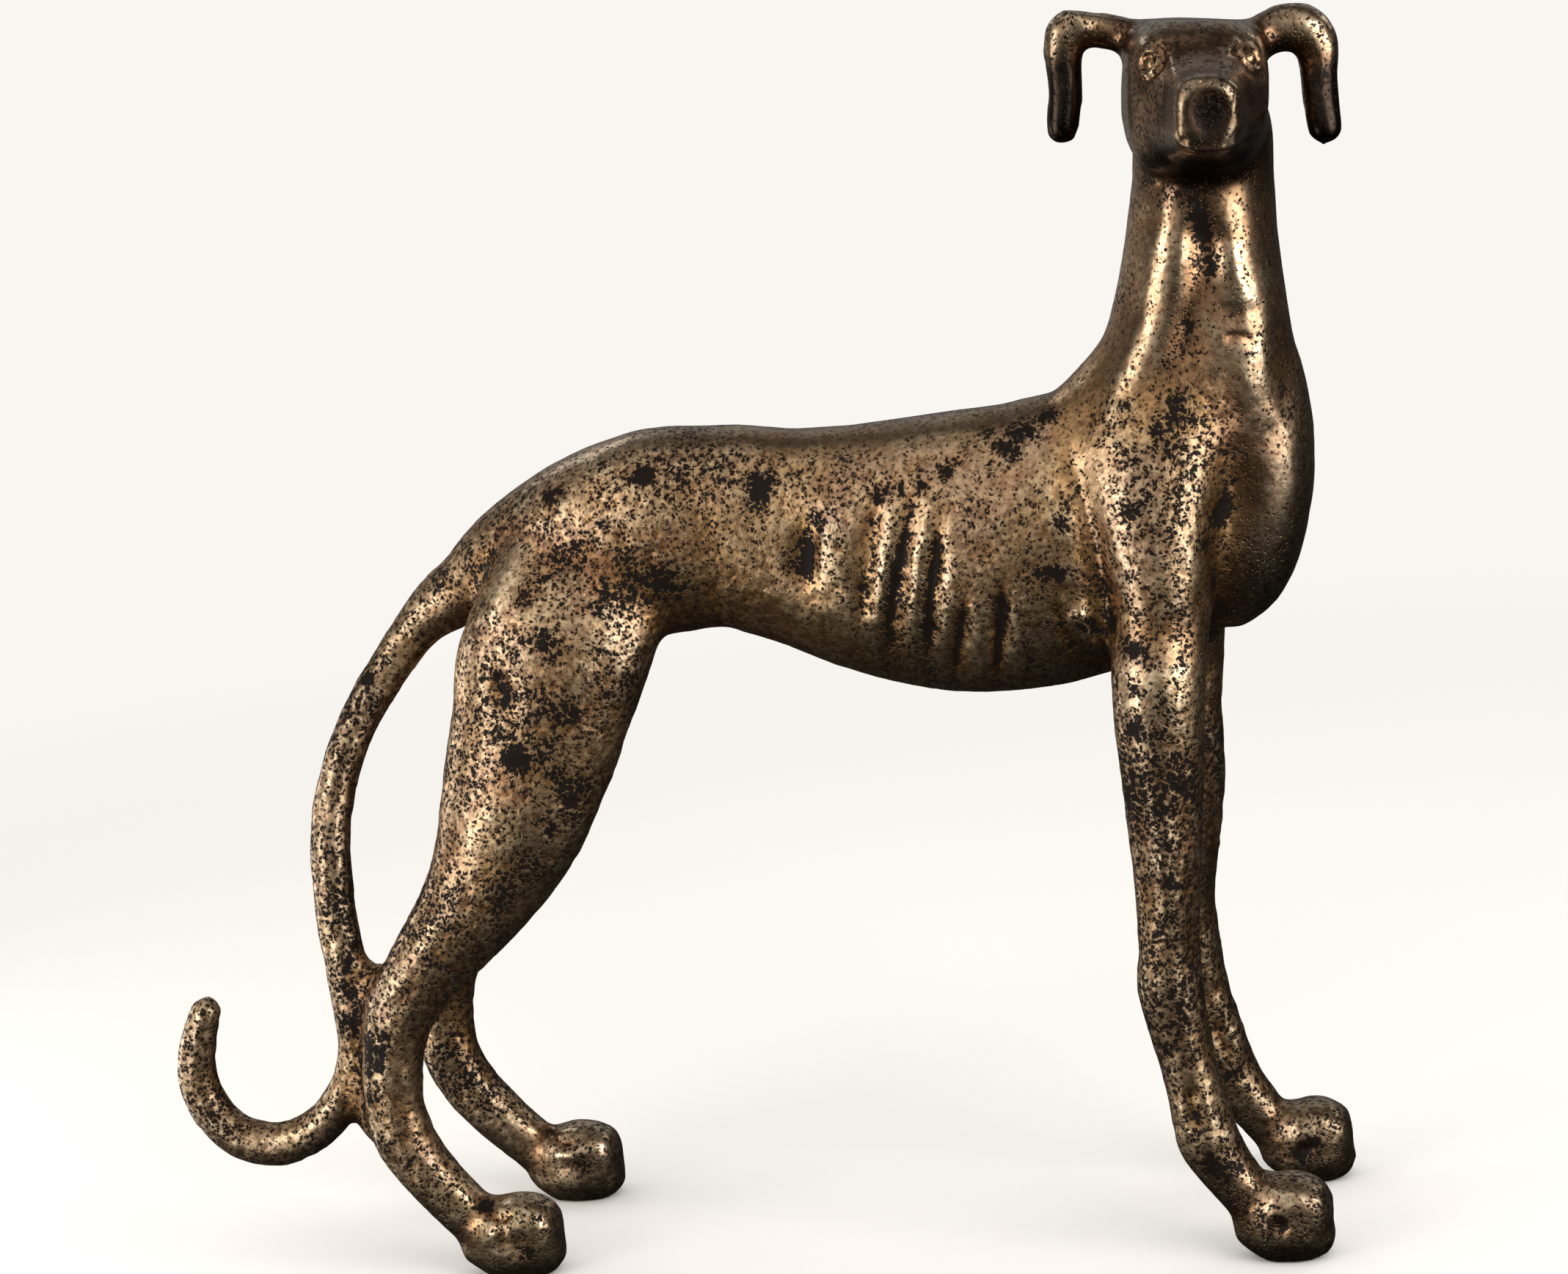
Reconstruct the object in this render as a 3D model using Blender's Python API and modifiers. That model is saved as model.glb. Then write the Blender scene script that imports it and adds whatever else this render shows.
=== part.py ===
"""A greyhound cast in metal in one piece: it stands on four paws and turns its head to its right.

Run it with: blender --background --python part.py

The frame is in metres, +Z up, with the dog's body facing +X and its right side towards -Y. The origin
is on the floor, at the middle of the casting's bounding box.

The figure is put together as a sculptor would in clay. Each form is a loft through a few sections
(trunk, neck, head, ears, tail, legs and paws). The forms are fused by a voxel remesh, the joins
between them are eased, and the ribs, furrows, eyes and toes are pressed in. Stations are written in
millimetres of the model, and HEIGHT sets how large a model millimetre is.
"""

import math

import bmesh
import bpy
import numpy as np
from mathutils import Matrix, Vector

# Driving dimensions, in metres.
HEIGHT = 0.289
# The model's own height in its millimetres, from the floor to the top of the ears.
MODEL_HEIGHT = 289.0
MM = HEIGHT / MODEL_HEIGHT

# Sizes of the pose, in model millimetres.
STANCE = 56.0  # between the left and right paws
HIP_SPREAD = 32.0  # between the thighs at the hip
SHOULDER_SPREAD = 34.0  # between the upper arms
HEAD_TURN = 80.0  # degrees that the head turns to the dog's right
HEAD_LEAN = 6.0  # degrees that the crown leans towards the chest
HEAD_NOD = 3.0  # degrees that the muzzle points down

# How the surface is made.
LOFT_SIDES = 28
LOFT_STEPS = 5
VOXEL = 1.15
EASE_ROUNDS = 5
SOLID_TRIANGLES = 9400
SNAP_TO_FLOOR = 0.35
STROKE_TAPER = 0.22  # share of a stroke's length over which it fades at each end
FACE_HOLD = 6e-6  # how strongly thinning spares the face

NEAR, FAR = -1.0, 1.0


def smooth_path(stations, steps):
    """The stations joined by a Catmull-Rom curve, as an array with the same columns."""
    rows = np.array(stations, float)
    ends = np.vstack([2 * rows[0] - rows[1], rows, 2 * rows[-1] - rows[-2]])
    t = np.linspace(0, 1, steps, endpoint=False)[:, None]
    made = []
    for a, b, c, d in zip(ends, ends[1:], ends[2:], ends[3:]):
        cubic = 2 * b + (c - a) * t + (2 * a - 5 * b + 4 * c - d) * t**2 + (3 * b - a - 3 * c + d) * t**3
        made.append(cubic / 2)
    made.append(rows[-1:])
    return np.vstack(made)


def section(squareness):
    """Points round a unit superellipse: 2 is an ellipse, and more is squarer."""
    angle = np.linspace(0, 2 * math.pi, LOFT_SIDES, endpoint=False)
    c, s = np.cos(angle), np.sin(angle)
    power = 2 / squareness
    return np.sign(c) * np.abs(c) ** power, np.sign(s) * np.abs(s) ** power


def loft(bm, stations, across=(0, 1, 0), squareness=2.0, bulge=(0.8, 0.8)):
    """Adds a closed form to bm. A station is x, y, z, half width across, half depth, in model mm.

    across is the direction that the half width is measured along, and bulge says how far the two
    ends swell past the first and last station, as a share of the section there.
    """
    rows = smooth_path(stations, LOFT_STEPS)
    centres, halves = rows[:, :3], np.maximum(rows[:, 3:], 0.4)
    tangents = np.gradient(centres, axis=0)
    tangents /= np.linalg.norm(tangents, axis=1)[:, None]
    for end, way, share in ((0, -1, bulge[0]), (-1, 1, bulge[1])):
        reach = halves[end].mean() * share
        cap = []
        for angle in (0.45, 0.9, 1.3):
            cap.append((centres[end] + way * tangents[end] * reach * math.sin(angle), halves[end] * math.cos(angle)))
        points, sizes = np.array([p for p, _ in cap]), np.array([h for _, h in cap])
        if way < 0:
            centres, halves = np.vstack([points[::-1], centres]), np.vstack([sizes[::-1], halves])
            tangents = np.vstack([np.repeat(tangents[:1], len(cap), axis=0), tangents])
        else:
            centres, halves = np.vstack([centres, points]), np.vstack([halves, sizes])
            tangents = np.vstack([tangents, np.repeat(tangents[-1:], len(cap), axis=0)])
    c, s = section(squareness)
    rings = []
    for centre, half, tangent in zip(centres, halves, tangents):
        wide = np.array(across, float)
        wide -= tangent * wide.dot(tangent)
        wide /= np.linalg.norm(wide)
        deep = np.cross(tangent, wide)
        ring = centre + np.outer(c * half[0], wide) + np.outer(s * half[1], deep)
        rings.append([bm.verts.new(point * MM) for point in ring])
    for low, high in zip(rings, rings[1:]):
        for i in range(LOFT_SIDES):
            j = (i + 1) % LOFT_SIDES
            bm.faces.new((low[i], low[j], high[j], high[i]))
    bm.faces.new(reversed(rings[0]))
    bm.faces.new(rings[-1])


def add_trunk(bm):
    """Rump, arched loin and deep rib cage, tail end first, and the prow of the breast."""
    loft(
        bm,
        [
            (-98, 0, 163.6, 7, 8),
            (-84, 0, 168.6, 13, 14.8),
            (-66, 0, 172.9, 17.5, 21),
            (-48, 0, 174.8, 18.5, 24.9),
            (-30, 0, 175.4, 17.5, 24.3),
            (-13, 0, 172, 18, 26),
            (6, 0, 168, 20.5, 30.3),
            (25, 0, 165.7, 22.5, 33.4),
            (43, 0, 166, 23, 33.9),
            (59, 0, 168.9, 22, 33.4),
            (75, 0, 171.1, 19.5, 30.5),
            (90, 0, 173, 16, 25.5),
            (100, 0, 175, 12, 17),
        ],
        squareness=2.15,
        bulge=(0.6, 0.5),
    )
    loft(
        bm,
        [
            (93, 0, 214, 7, 7.4),
            (100.2, 0, 205, 9.5, 9.8),
            (101.2, 0, 195, 11.5, 10.6),
            (101, 0, 184, 12.8, 10.8),
            (99.8, 0, 174, 13, 10.6),
            (97.2, 0, 164, 12.5, 10.4),
            (93, 0, 155.6, 11, 9.8),
            (87, 0, 150, 8.5, 8.4),
        ],
        bulge=(0.5, 0.5),
    )


def add_neck(bm):
    """The column of the neck, from inside the chest up to the skull."""
    loft(
        bm,
        [
            (72, 0, 176.6, 19, 30),
            (80.5, 0, 190.6, 19, 29),
            (86, 0, 204.6, 18, 24),
            (88, 0, 215.6, 17, 21.2),
            (89.2, 0, 227.1, 16.5, 18.8),
            (90.2, 0, 236.6, 16.3, 17.3),
            (91.4, 0, 248.6, 16.2, 16.2),
            (92.2, 0, 258.6, 16, 16),
            (92.8, 0, 267.6, 14, 14),
        ],
        bulge=(0.5, 0.5),
    )


def head_axes():
    """The head's own directions in the model: across its face to its left, forward, and up."""
    turn, lean, nod = (math.radians(angle) for angle in (HEAD_TURN, HEAD_LEAN, HEAD_NOD))
    turned = Matrix.Rotation(-turn, 3, "Z")
    leaned = Matrix.Rotation(lean, 3, turned @ Vector((-1, 0, 0)))
    nodded = Matrix.Rotation(nod, 3, turned @ Vector((0, 1, 0)))
    axes = leaned @ nodded @ turned
    return [np.array(axes @ Vector(way)) for way in ((0, 1, 0), (1, 0, 0), (0, 0, 1))]


HEAD_CENTRE = np.array([92.0, -2.0, 268.8])
FACE_LEFT, FACE_FORWARD, FACE_UP = head_axes()


def from_head(left, forward, up):
    """A point of the model from its place in the head."""
    return HEAD_CENTRE + left * FACE_LEFT + forward * FACE_FORWARD + up * FACE_UP


def head_loft(bm, stations, across=None, **kwargs):
    """A loft whose stations are left, forward, up, half width, half depth, in the head's own frame."""
    placed = [(*from_head(*station[:3]), *station[3:]) for station in stations]
    loft(bm, placed, FACE_LEFT if across is None else across, **kwargs)


def add_head(bm):
    """The flat skull, deep square jaw and blunt muzzle."""
    head_loft(
        bm,
        [
            (-0.5, -14, 3, 10, 10),
            (-0.8, -8, 1.2, 14.5, 14.5),
            (-0.9, 0, 0.2, 16.2, 16.8),
            (-0.7, 9, -0.8, 16.2, 18.0),
            (-0.3, 16, -1.8, 15.4, 17.0),
            (0, 22, -2.4, 13.0, 14.2),
            (0, 29, -2.2, 10.2, 11.4),
            (0, 37, -1.8, 8.2, 9.6),
            (0, 46, -1.2, 7.2, 8.8),
        ],
        squareness=3.2,
        bulge=(0.5, 0.22),
    )
    head_loft(
        bm,
        [(-8.5, 7, -10.5, 7, 6.5), (0, 8, -11.5, 8.5, 7.5), (9.8, 6.5, -10.2, 7, 6)],
        across=FACE_FORWARD,
        bulge=(1.15, 1.15),
    )
    head_loft(
        bm,
        [(-12, -1, 10.2, 6, 5), (0, -1, 10.8, 8, 5.2), (12, -1, 10.2, 6, 5)],
        across=FACE_FORWARD,
        bulge=(0.8, 0.8),
    )


def add_ears(bm):
    """Ears that stand out level from the crown and fold straight down."""
    rear = [
        (-10, -3, 10.5, 4.6, 4.6),
        (-16, -4, 11.3, 4.4, 4.3),
        (-22, -5, 12.4, 4.3, 4.2),
        (-28, -5, 12.8, 4.6, 4.8),
        (-30.2, -5, 8.8, 4.4, 4.7),
        (-30, -4.5, 3.5, 3.9, 4.2),
        (-29.6, -3.5, -2, 3.7, 3.9),
        (-30.0, -3, -8, 3.5, 3.8),
        (-30.4, -3, -11, 3.3, 3.4),
    ]
    fore = [
        (9, -3, 9.8, 4.6, 4.8),
        (14, -3, 11.2, 4.8, 5.0),
        (19.5, -3, 13.4, 5.2, 5.4),
        (24.4, -3, 13.0, 5.2, 5.4),
        (27.2, -2.5, 8.6, 4.6, 4.9),
        (27.4, -1.5, 4, 4.1, 4.2),
        (27.9, 0, -2, 3.9, 4.1),
        (28.6, 1.5, -7, 3.7, 4.0),
        (29.2, 2, -9.8, 3.5, 3.8),
    ]
    for stations in (rear, fore):
        head_loft(bm, stations, across=FACE_FORWARD, squareness=2.3, bulge=(0.5, 0.75))


def add_tail(bm):
    """The tail drops from the rump, is webbed to the right hock and curls up behind it."""
    loft(
        bm,
        [
            (-90, 0, 166, 9, 10),
            (-100, 0, 161.8, 7, 8.2),
            (-109, -1, 155, 5.6, 6.2),
            (-115.6, -3, 147.4, 5.1, 5.4),
            (-122.3, -7, 138, 4.8, 5.0),
            (-127.4, -11, 127.8, 4.7, 5.0),
            (-130.6, -14, 117.6, 4.6, 5.0),
            (-132, -17, 107.6, 4.6, 5.1),
            (-132.1, -19, 96.6, 4.6, 5.1),
            (-131.6, -20.5, 86.6, 4.7, 5.2),
            (-130, -22, 75.6, 4.9, 5.4),
            (-129.2, -22.5, 64.6, 5.0, 5.4),
            (-130, -22.5, 53.6, 4.9, 5.0),
            (-134.8, -22.5, 43.6, 4.8, 5.0),
            (-143.5, -22.5, 35.4, 5.0, 5.2),
            (-154, -22.5, 32.2, 5.1, 5.5),
            (-163.5, -22.5, 34.9, 5.1, 5.5),
            (-170.1, -22.5, 41.9, 4.9, 5.2),
            (-172.3, -22.5, 51.1, 4.7, 5.0),
            (-170.6, -22.5, 60.3, 4.3, 4.5),
            (-167.6, -22.5, 67.4, 3.6, 3.8),
        ],
        bulge=(0.6, 0.95),
    )
    loft(
        bm,
        [
            (-121.5, -22.5, 75.5, 3.4, 3.4),
            (-122.6, -23, 70, 4.4, 5.4),
            (-124, -23.5, 61, 4.8, 6.5),
            (-125, -23.5, 49, 4.8, 6.5),
            (-126, -23.5, 40, 4.4, 6),
            (-124, -24, 33.5, 3.6, 4),
        ],
        bulge=(0.6, 0.6),
    )


def add_paw(bm, heel, length, side):
    """A blunt paw: its block, and the two middle and two outer toes that swell out of it."""
    y = side * STANCE / 2
    loft(
        bm,
        [
            (heel, y, 9.2, 5.2, 6.6),
            (heel + 0.28 * length, y, 9.0, 7.8, 9.6),
            (heel + 0.58 * length, y, 9.0, 8.6, 10.6),
            (heel + 0.84 * length, y, 8.3, 7.8, 9.7),
        ],
        squareness=2.9,
        bulge=(0.5, 0.5),
    )
    for across, reach, height, radius in ((6.0, 0.68, 5.8, 3.4), (2.2, 0.9, 4.4, 4.0)):
        for way in (-1, 1):
            toe = heel + reach * length
            start = (toe - 5, y + way * across * 0.9, height + 1.5, radius, radius)
            loft(bm, [start, (toe, y + way * across, height, radius, radius)], bulge=(0.9, 0.9))


def add_hind_leg(bm, side):
    """Thigh, shank, hock, upright cannon and the long sloping foot above the paw."""
    hip, foot = side * HIP_SPREAD / 2, side * STANCE / 2
    mid = (hip + foot) / 2
    rows = np.array(
        [
            (-64, hip * 0.75, 162.6, 12, 22),
            (-68.5, hip * 0.95, 152.6, 13, 24),
            (-72.5, hip, 144.6, 13.2, 23.5),
            (-75.4, hip * 1.08, 134.6, 12.8, 21.8),
            (-79.2, hip * 1.2, 123.6, 12, 20.4),
            (-83.1, mid * 0.98, 112.6, 11, 18.6),
            (-88.9, mid * 1.04, 101.1, 9.8, 15.9),
            (-96.6, mid * 1.1, 90.1, 8.6, 12.7),
            (-105.8, mid * 1.16, 79.6, 7.8, 10.4),
            (-113.1, mid * 1.2, 70.6, 7.4, 9.2),
            (-117.6, foot * 0.97, 61.1, 6.8, 7.9),
            (-119.6, foot, 50.6, 6.5, 7.5),
            (-120, foot, 40.6, 6.6, 7.6),
            (-116.9, foot, 31.1, 6.6, 7.3),
            (-110.9, foot, 22.6, 6.6, 7.0),
            (-104.7, foot, 15.5, 6.4, 6.7),
            (-99.5, foot, 10.5, 6.2, 6.6),
        ]
    )
    if side == FAR:
        rows[:, 0] -= np.interp(rows[:, 2], (12, 25, 45, 80, 110, 140, 165), (1.2, 2.9, 4.4, 4.5, 5.5, 6.5, 5))
        rows[:, 4] -= np.interp(rows[:, 2], (70, 105, 150), (0, 4, 5))
    loft(bm, rows, bulge=(0.5, 0.6))
    heel, length = ((-104.2, 21.8), (-103.8, 21.0))[side == FAR]
    add_paw(bm, heel, length, side)


def add_fore_leg(bm, side):
    """Shoulder, upper arm, straight forearm, wrist and sloping pastern above the paw."""
    shoulder, foot = side * SHOULDER_SPREAD / 2, side * STANCE / 2
    mid = (shoulder + foot) / 2
    rows = np.array(
        [
            (80, shoulder * 0.55, 202.6, 7, 13),
            (78, shoulder * 0.72, 191.6, 9.2, 17),
            (75.5, shoulder * 0.88, 176.6, 10.6, 15.6),
            (75.6, shoulder * 0.98, 159.6, 10.4, 13.2),
            (75, shoulder * 1.04, 146.6, 9.8, 11.8),
            (74, mid * 0.94, 135.6, 9.2, 11.2),
            (73.6, mid * 0.97, 120.6, 8.8, 10.2),
            (73.3, mid, 105.1, 8.2, 9.0),
            (72.8, mid * 1.05, 89.6, 7.6, 7.9),
            (72, mid * 1.1, 74.1, 7.2, 7.3),
            (71.6, mid * 1.14, 63.6, 7.4, 7.7),
            (73.9, mid * 1.17, 48.6, 6.7, 6.7),
            (76.2, foot * 0.97, 36.1, 6.7, 7.1),
            (77.6, foot, 28.6, 7.0, 7.4),
            (80.6, foot, 22.6, 6.6, 6.8),
            (85.2, foot, 16.1, 6.4, 6.3),
            (89.5, foot, 10.6, 6.2, 6.4),
        ]
    )
    if side == FAR:
        rows[:, 0] -= np.interp(rows[:, 2], (20, 45, 75, 100, 120, 150), (2, 2.6, 2.6, 0, 1.2, 0))
    loft(bm, rows, bulge=(0.4, 0.6))
    heel, length = ((84.6, 19.2), (84.6, 18.8))[side == FAR]
    add_paw(bm, heel, length, side)


def evaluated_mesh(obj, name):
    """The mesh that obj's modifiers make, as a mesh of its own."""
    graph = bpy.context.evaluated_depsgraph_get()
    return bpy.data.meshes.new_from_object(obj.evaluated_get(graph), depsgraph=graph).copy()


def fused(build):
    """The lofted forms fused into one closed skin."""
    bm = bmesh.new()
    build(bm)
    bmesh.ops.recalc_face_normals(bm, faces=bm.faces)
    mesh = bpy.data.meshes.new("forms")
    bm.to_mesh(mesh)
    bm.free()
    obj = bpy.data.objects.new("forms", mesh)
    bpy.context.scene.collection.objects.link(obj)
    remesh = obj.modifiers.new("Fuse", "REMESH")
    remesh.mode = "VOXEL"
    remesh.voxel_size = VOXEL * MM
    skin = evaluated_mesh(obj, "skin")
    bpy.data.objects.remove(obj)
    return skin


def add_figure(bm):
    """Every form of the dog."""
    add_trunk(bm)
    add_neck(bm)
    add_head(bm)
    add_ears(bm)
    add_tail(bm)
    for side in (NEAR, FAR):
        add_hind_leg(bm, side)
        add_fore_leg(bm, side)


class Clay:
    """A skin as arrays, in model millimetres, with the strokes that shape it."""

    def __init__(self, mesh):
        self.mesh = mesh
        count = len(mesh.vertices)
        flat = np.empty(count * 3, np.float32)
        mesh.vertices.foreach_get("co", flat)
        self.points = flat.reshape(-1, 3).astype(float) / MM
        ends = np.empty(len(mesh.edges) * 2, np.int32)
        mesh.edges.foreach_get("vertices", ends)
        ends = ends.reshape(-1, 2)
        self.start = np.concatenate([ends[:, 0], ends[:, 1]])
        self.end = np.concatenate([ends[:, 1], ends[:, 0]])
        self.valence = np.bincount(self.start, minlength=count)[:, None]

    def relaxed(self):
        """Each point's neighbours' average."""
        sums = [np.bincount(self.start, self.points[self.end, k], len(self.points)) for k in range(3)]
        return np.stack(sums, axis=1) / self.valence

    def ease(self, rounds, weight=0.5):
        """Rubs the whole skin smooth without shrinking it."""
        for _ in range(rounds):
            self.points += weight * (self.relaxed() - self.points)
            self.points -= weight * 1.04 * (self.relaxed() - self.points)

    def fillet(self, centre, radius, rounds):
        """Rubs a join smooth within a radius of a centre, which fills its corner."""
        reach = np.linalg.norm(self.points - np.array(centre, float), axis=1) / radius
        share = np.clip(1.3 - reach, 0, 1)[:, None] * 0.6
        for _ in range(rounds):
            self.points += share * (self.relaxed() - self.points)

    def normals(self):
        self.store()
        flat = np.empty(len(self.points) * 3, np.float32)
        self.mesh.vertices.foreach_get("normal", flat)
        return flat.reshape(-1, 3).astype(float)

    def store(self):
        self.mesh.vertices.foreach_set("co", (self.points * MM).astype(np.float32).ravel())
        self.mesh.update()

    def stroke(self, line, width, depth, right, up, facing, least=0.15):
        """Presses a groove of a depth along a line, or raises a ridge where the depth is below 0.

        The line's points are places along the directions right and up. Only skin that faces the
        direction facing takes the stroke.
        """
        normals = self.normals()
        flat = np.stack([self.points @ np.array(right), self.points @ np.array(up)], axis=1)
        path = smooth_path(line, 4)
        nearest, along = np.full(len(flat), np.inf), np.zeros(len(flat))
        for step, (a, b) in enumerate(zip(path, path[1:])):
            run = b - a
            share = np.clip((flat - a) @ run / run.dot(run), 0, 1)
            reach = np.linalg.norm(flat - a - share[:, None] * run, axis=1)
            closer = reach < nearest
            nearest[closer] = reach[closer]
            along[closer] = (step + share[closer]) / (len(path) - 1)
        taper = np.clip(np.minimum(along, 1 - along) / STROKE_TAPER, 0.25, 1)
        faces_us = np.clip((normals @ np.array(facing, float) - least) / 0.3, 0, 1)
        self.points -= normals * (depth * taper * faces_us * np.exp(-((nearest / width) ** 2)))[:, None]

    def side_stroke(self, line, width, depth, sides=(NEAR, FAR)):
        """A stroke drawn on the dog's flank, as x and z."""
        for side in sides:
            self.stroke(line, width, depth, (1, 0, 0), (0, 0, 1), (0, side, 0))

    def face_stroke(self, line, width, depth):
        """A stroke drawn on the face, as left and up in the head's frame."""
        offset = np.array([HEAD_CENTRE @ FACE_LEFT, HEAD_CENTRE @ FACE_UP])
        moved = [tuple(np.array(point) + offset) for point in line]
        self.stroke(moved, width, depth, FACE_LEFT, FACE_UP, FACE_FORWARD)

    def dab(self, centre, radius, height):
        """Raises a round swelling, or sinks a pit where the height is below 0."""
        reach = np.linalg.norm(self.points - np.array(centre, float), axis=1)
        self.points += self.normals() * (height * np.exp(-((reach / radius) ** 2)))[:, None]

    def cut_flat(self):
        """Flattens whatever reaches below the floor."""
        self.points[:, 2] = np.maximum(self.points[:, 2], 0)


def ease_joins(clay):
    """Rubs the corners where forms meet, as a caster's wax is softened."""
    for side in (NEAR, FAR):
        clay.fillet((-50, side * 14, 142.6), 17, 26)
        clay.fillet((-90, side * 12, 154.6), 16, 30)
        clay.fillet((-66, side * 17, 160), 24, 60)
        clay.fillet((-50, side * 17, 152), 16, 40)
        clay.fillet((62, side * 18, 138.6), 15, 22)
        clay.fillet((88, side * 13, 144.6), 13, 18)
        clay.fillet((89, side * 15, 170), 15, 40)
        clay.fillet((91, side * 13, 190), 16, 50)
        clay.fillet((76, side * 14, 201.6), 20, 40)
        clay.fillet((62, side * 18, 176), 22, 40)
        clay.fillet((88, side * 27, 11.6), 7, 7)
        clay.fillet((-101, side * 27, 12.6), 7, 7)
    clay.fillet((68, 0, 208.6), 20, 30)
    clay.fillet((107, 0, 212), 14, 30)
    clay.fillet((-104, 0, 150.6), 11, 20)
    clay.fillet((-121, -23, 74.6), 9, 12)
    clay.fillet((-126, -23, 46.6), 9, 12)
    for left in (-13, 12):
        clay.fillet(from_head(left, -2, 10), 8, 12)


def carve_body(clay):
    """Ribs, the hollows of flank and elbow, the shoulder's edges and the neck's cords."""
    ribs = (
        [(12.5, 183), (9, 169.4), (5.4, 153.6)],
        [(21.4, 183), (16.4, 163.3), (11.6, 142.5)],
        [(26.7, 176), (23.9, 158.8), (21, 140.5)],
        [(31, 157), (28.8, 148.3), (26.8, 138.5)],
        [(40.6, 160.5), (38.4, 149.1), (36, 136.5)],
    )
    for rib in ribs:
        clay.side_stroke(rib, 1.7, 1.5)
    clay.side_stroke([(-4.5, 178), (-6, 171), (-7, 162)], 3.6, 1.5)
    clay.side_stroke([(0.6, 180), (-0.6, 172.6), (-1.6, 165)], 2.4, -0.7)
    clay.side_stroke([(54.5, 194), (60.4, 177), (63.4, 160), (64.6, 146)], 3.2, 1.3)
    clay.side_stroke([(55.5, 156), (58, 149), (60, 142.5)], 2.2, -1.0)
    clay.side_stroke([(96, 196), (92, 168), (87.5, 148)], 4.2, 1.3)
    clay.side_stroke([(-80.6, 150), (-80.2, 144.7), (-79, 139)], 3, 0.8)
    clay.side_stroke([(-72.5, 180), (-76, 171.4), (-79, 162)], 4, -0.6)
    near = (NEAR,)
    clay.side_stroke([(94, 243), (91.4, 231.7), (87, 217), (89, 203)], 4.2, 1.7, near)
    clay.side_stroke([(84.9, 244.7), (80.4, 229.3), (75.4, 214.8), (66.6, 199.5)], 3.4, -0.9, near)
    clay.side_stroke([(102.2, 236), (103.4, 219), (101.6, 203), (104.2, 186)], 3.6, -0.9, near)


def carve_face(clay):
    """Eyes in their sockets, brows, the nose pad, nostrils and the jaw's crease."""
    for left, up in ((-11.2, 7.0), (10.0, 7.8)):
        eye = from_head(left, 20, up)
        clay.dab(eye, 4.4, -1.8)
        clay.dab(eye, 2.0, 2.2)
        clay.face_stroke([(left - 3.4, up + 3.2), (left, up + 5), (left + 3.4, up + 3.2)], 1.5, -1.0)
    clay.face_stroke([(-13, -7), (-10, -12.5), (0, -14.5), (10, -12.5), (13, -7)], 1.6, 0.8)


def thinned(obj, clay):
    """The skin with about SOLID_TRIANGLES faces, fewest where it is plain."""
    obj.data.calc_loop_triangles()
    group = obj.vertex_groups.new(name="thin_freely")
    face = np.linalg.norm(clay.points - from_head(0, 21, 3), axis=1) < 17
    group.add(np.flatnonzero(~face).tolist(), 1, "REPLACE")
    thin = obj.modifiers.new("Thin", "DECIMATE")
    thin.ratio = SOLID_TRIANGLES / len(obj.data.loop_triangles)
    thin.vertex_group = group.name
    thin.vertex_group_factor = FACE_HOLD
    thin.use_collapse_triangulate = True
    return evaluated_mesh(obj, "greyhound")


def set_on_floor(mesh):
    """Snaps the soles to the floor and moves the origin under the middle of the box."""
    flat = np.empty(len(mesh.vertices) * 3, np.float32)
    mesh.vertices.foreach_get("co", flat)
    points = flat.reshape(-1, 3)
    points[points[:, 2] < SNAP_TO_FLOOR * MM, 2] = 0
    low, high = points.min(axis=0), points.max(axis=0)
    middle = (low + high) / 2
    points[:, :2] -= middle[:2]
    mesh.vertices.foreach_set("co", points.ravel())
    mesh.update()
    return middle


def bronze():
    """Worn bronze paint over cast metal."""
    material = bpy.data.materials.new("aged_bronze")
    material.use_nodes = True
    shader = material.node_tree.nodes["Principled BSDF"]
    shader.inputs["Base Color"].default_value = (0.32, 0.21, 0.12, 1)
    shader.inputs["Metallic"].default_value = 0.9
    shader.inputs["Roughness"].default_value = 0.42
    return material


def shaped():
    """The whole figure as clay, fused, eased, carved and cut flat at the floor."""
    clay = Clay(fused(add_figure))
    clay.ease(EASE_ROUNDS)
    ease_joins(clay)
    carve_body(clay)
    carve_face(clay)
    clay.cut_flat()
    return clay


def main():
    for old in list(bpy.data.objects):
        bpy.data.objects.remove(old)
    clay = shaped()
    clay.store()
    collection = bpy.data.collections.new("greyhound sculpture")
    bpy.context.scene.collection.children.link(collection)
    dense = bpy.data.objects.new("dense", clay.mesh)
    collection.objects.link(dense)
    mesh = thinned(dense, clay)
    bpy.data.objects.remove(dense)
    middle = set_on_floor(mesh)
    mesh.materials.append(bronze())
    mesh.shade_smooth()
    collection.objects.link(bpy.data.objects.new("greyhound", mesh))
    return middle


if __name__ == "__main__":
    main()
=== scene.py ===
"""Looks of the greyhound sculpture: the CAD casting dressed with its carving, cast grain and patina.

The sculptor's frame, in millimetres, has +Z up and the floor at 0, the dog's body facing +X, its right
side towards -Y, and its four paws standing symmetrically about X = 0, Y = 0. Places on the dog are
written in that frame, and ORIGIN says where the CAD model's origin lies in it.
"""

import math

import bmesh
import bpy
import numpy as np
from mathutils import Matrix, Vector


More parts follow.
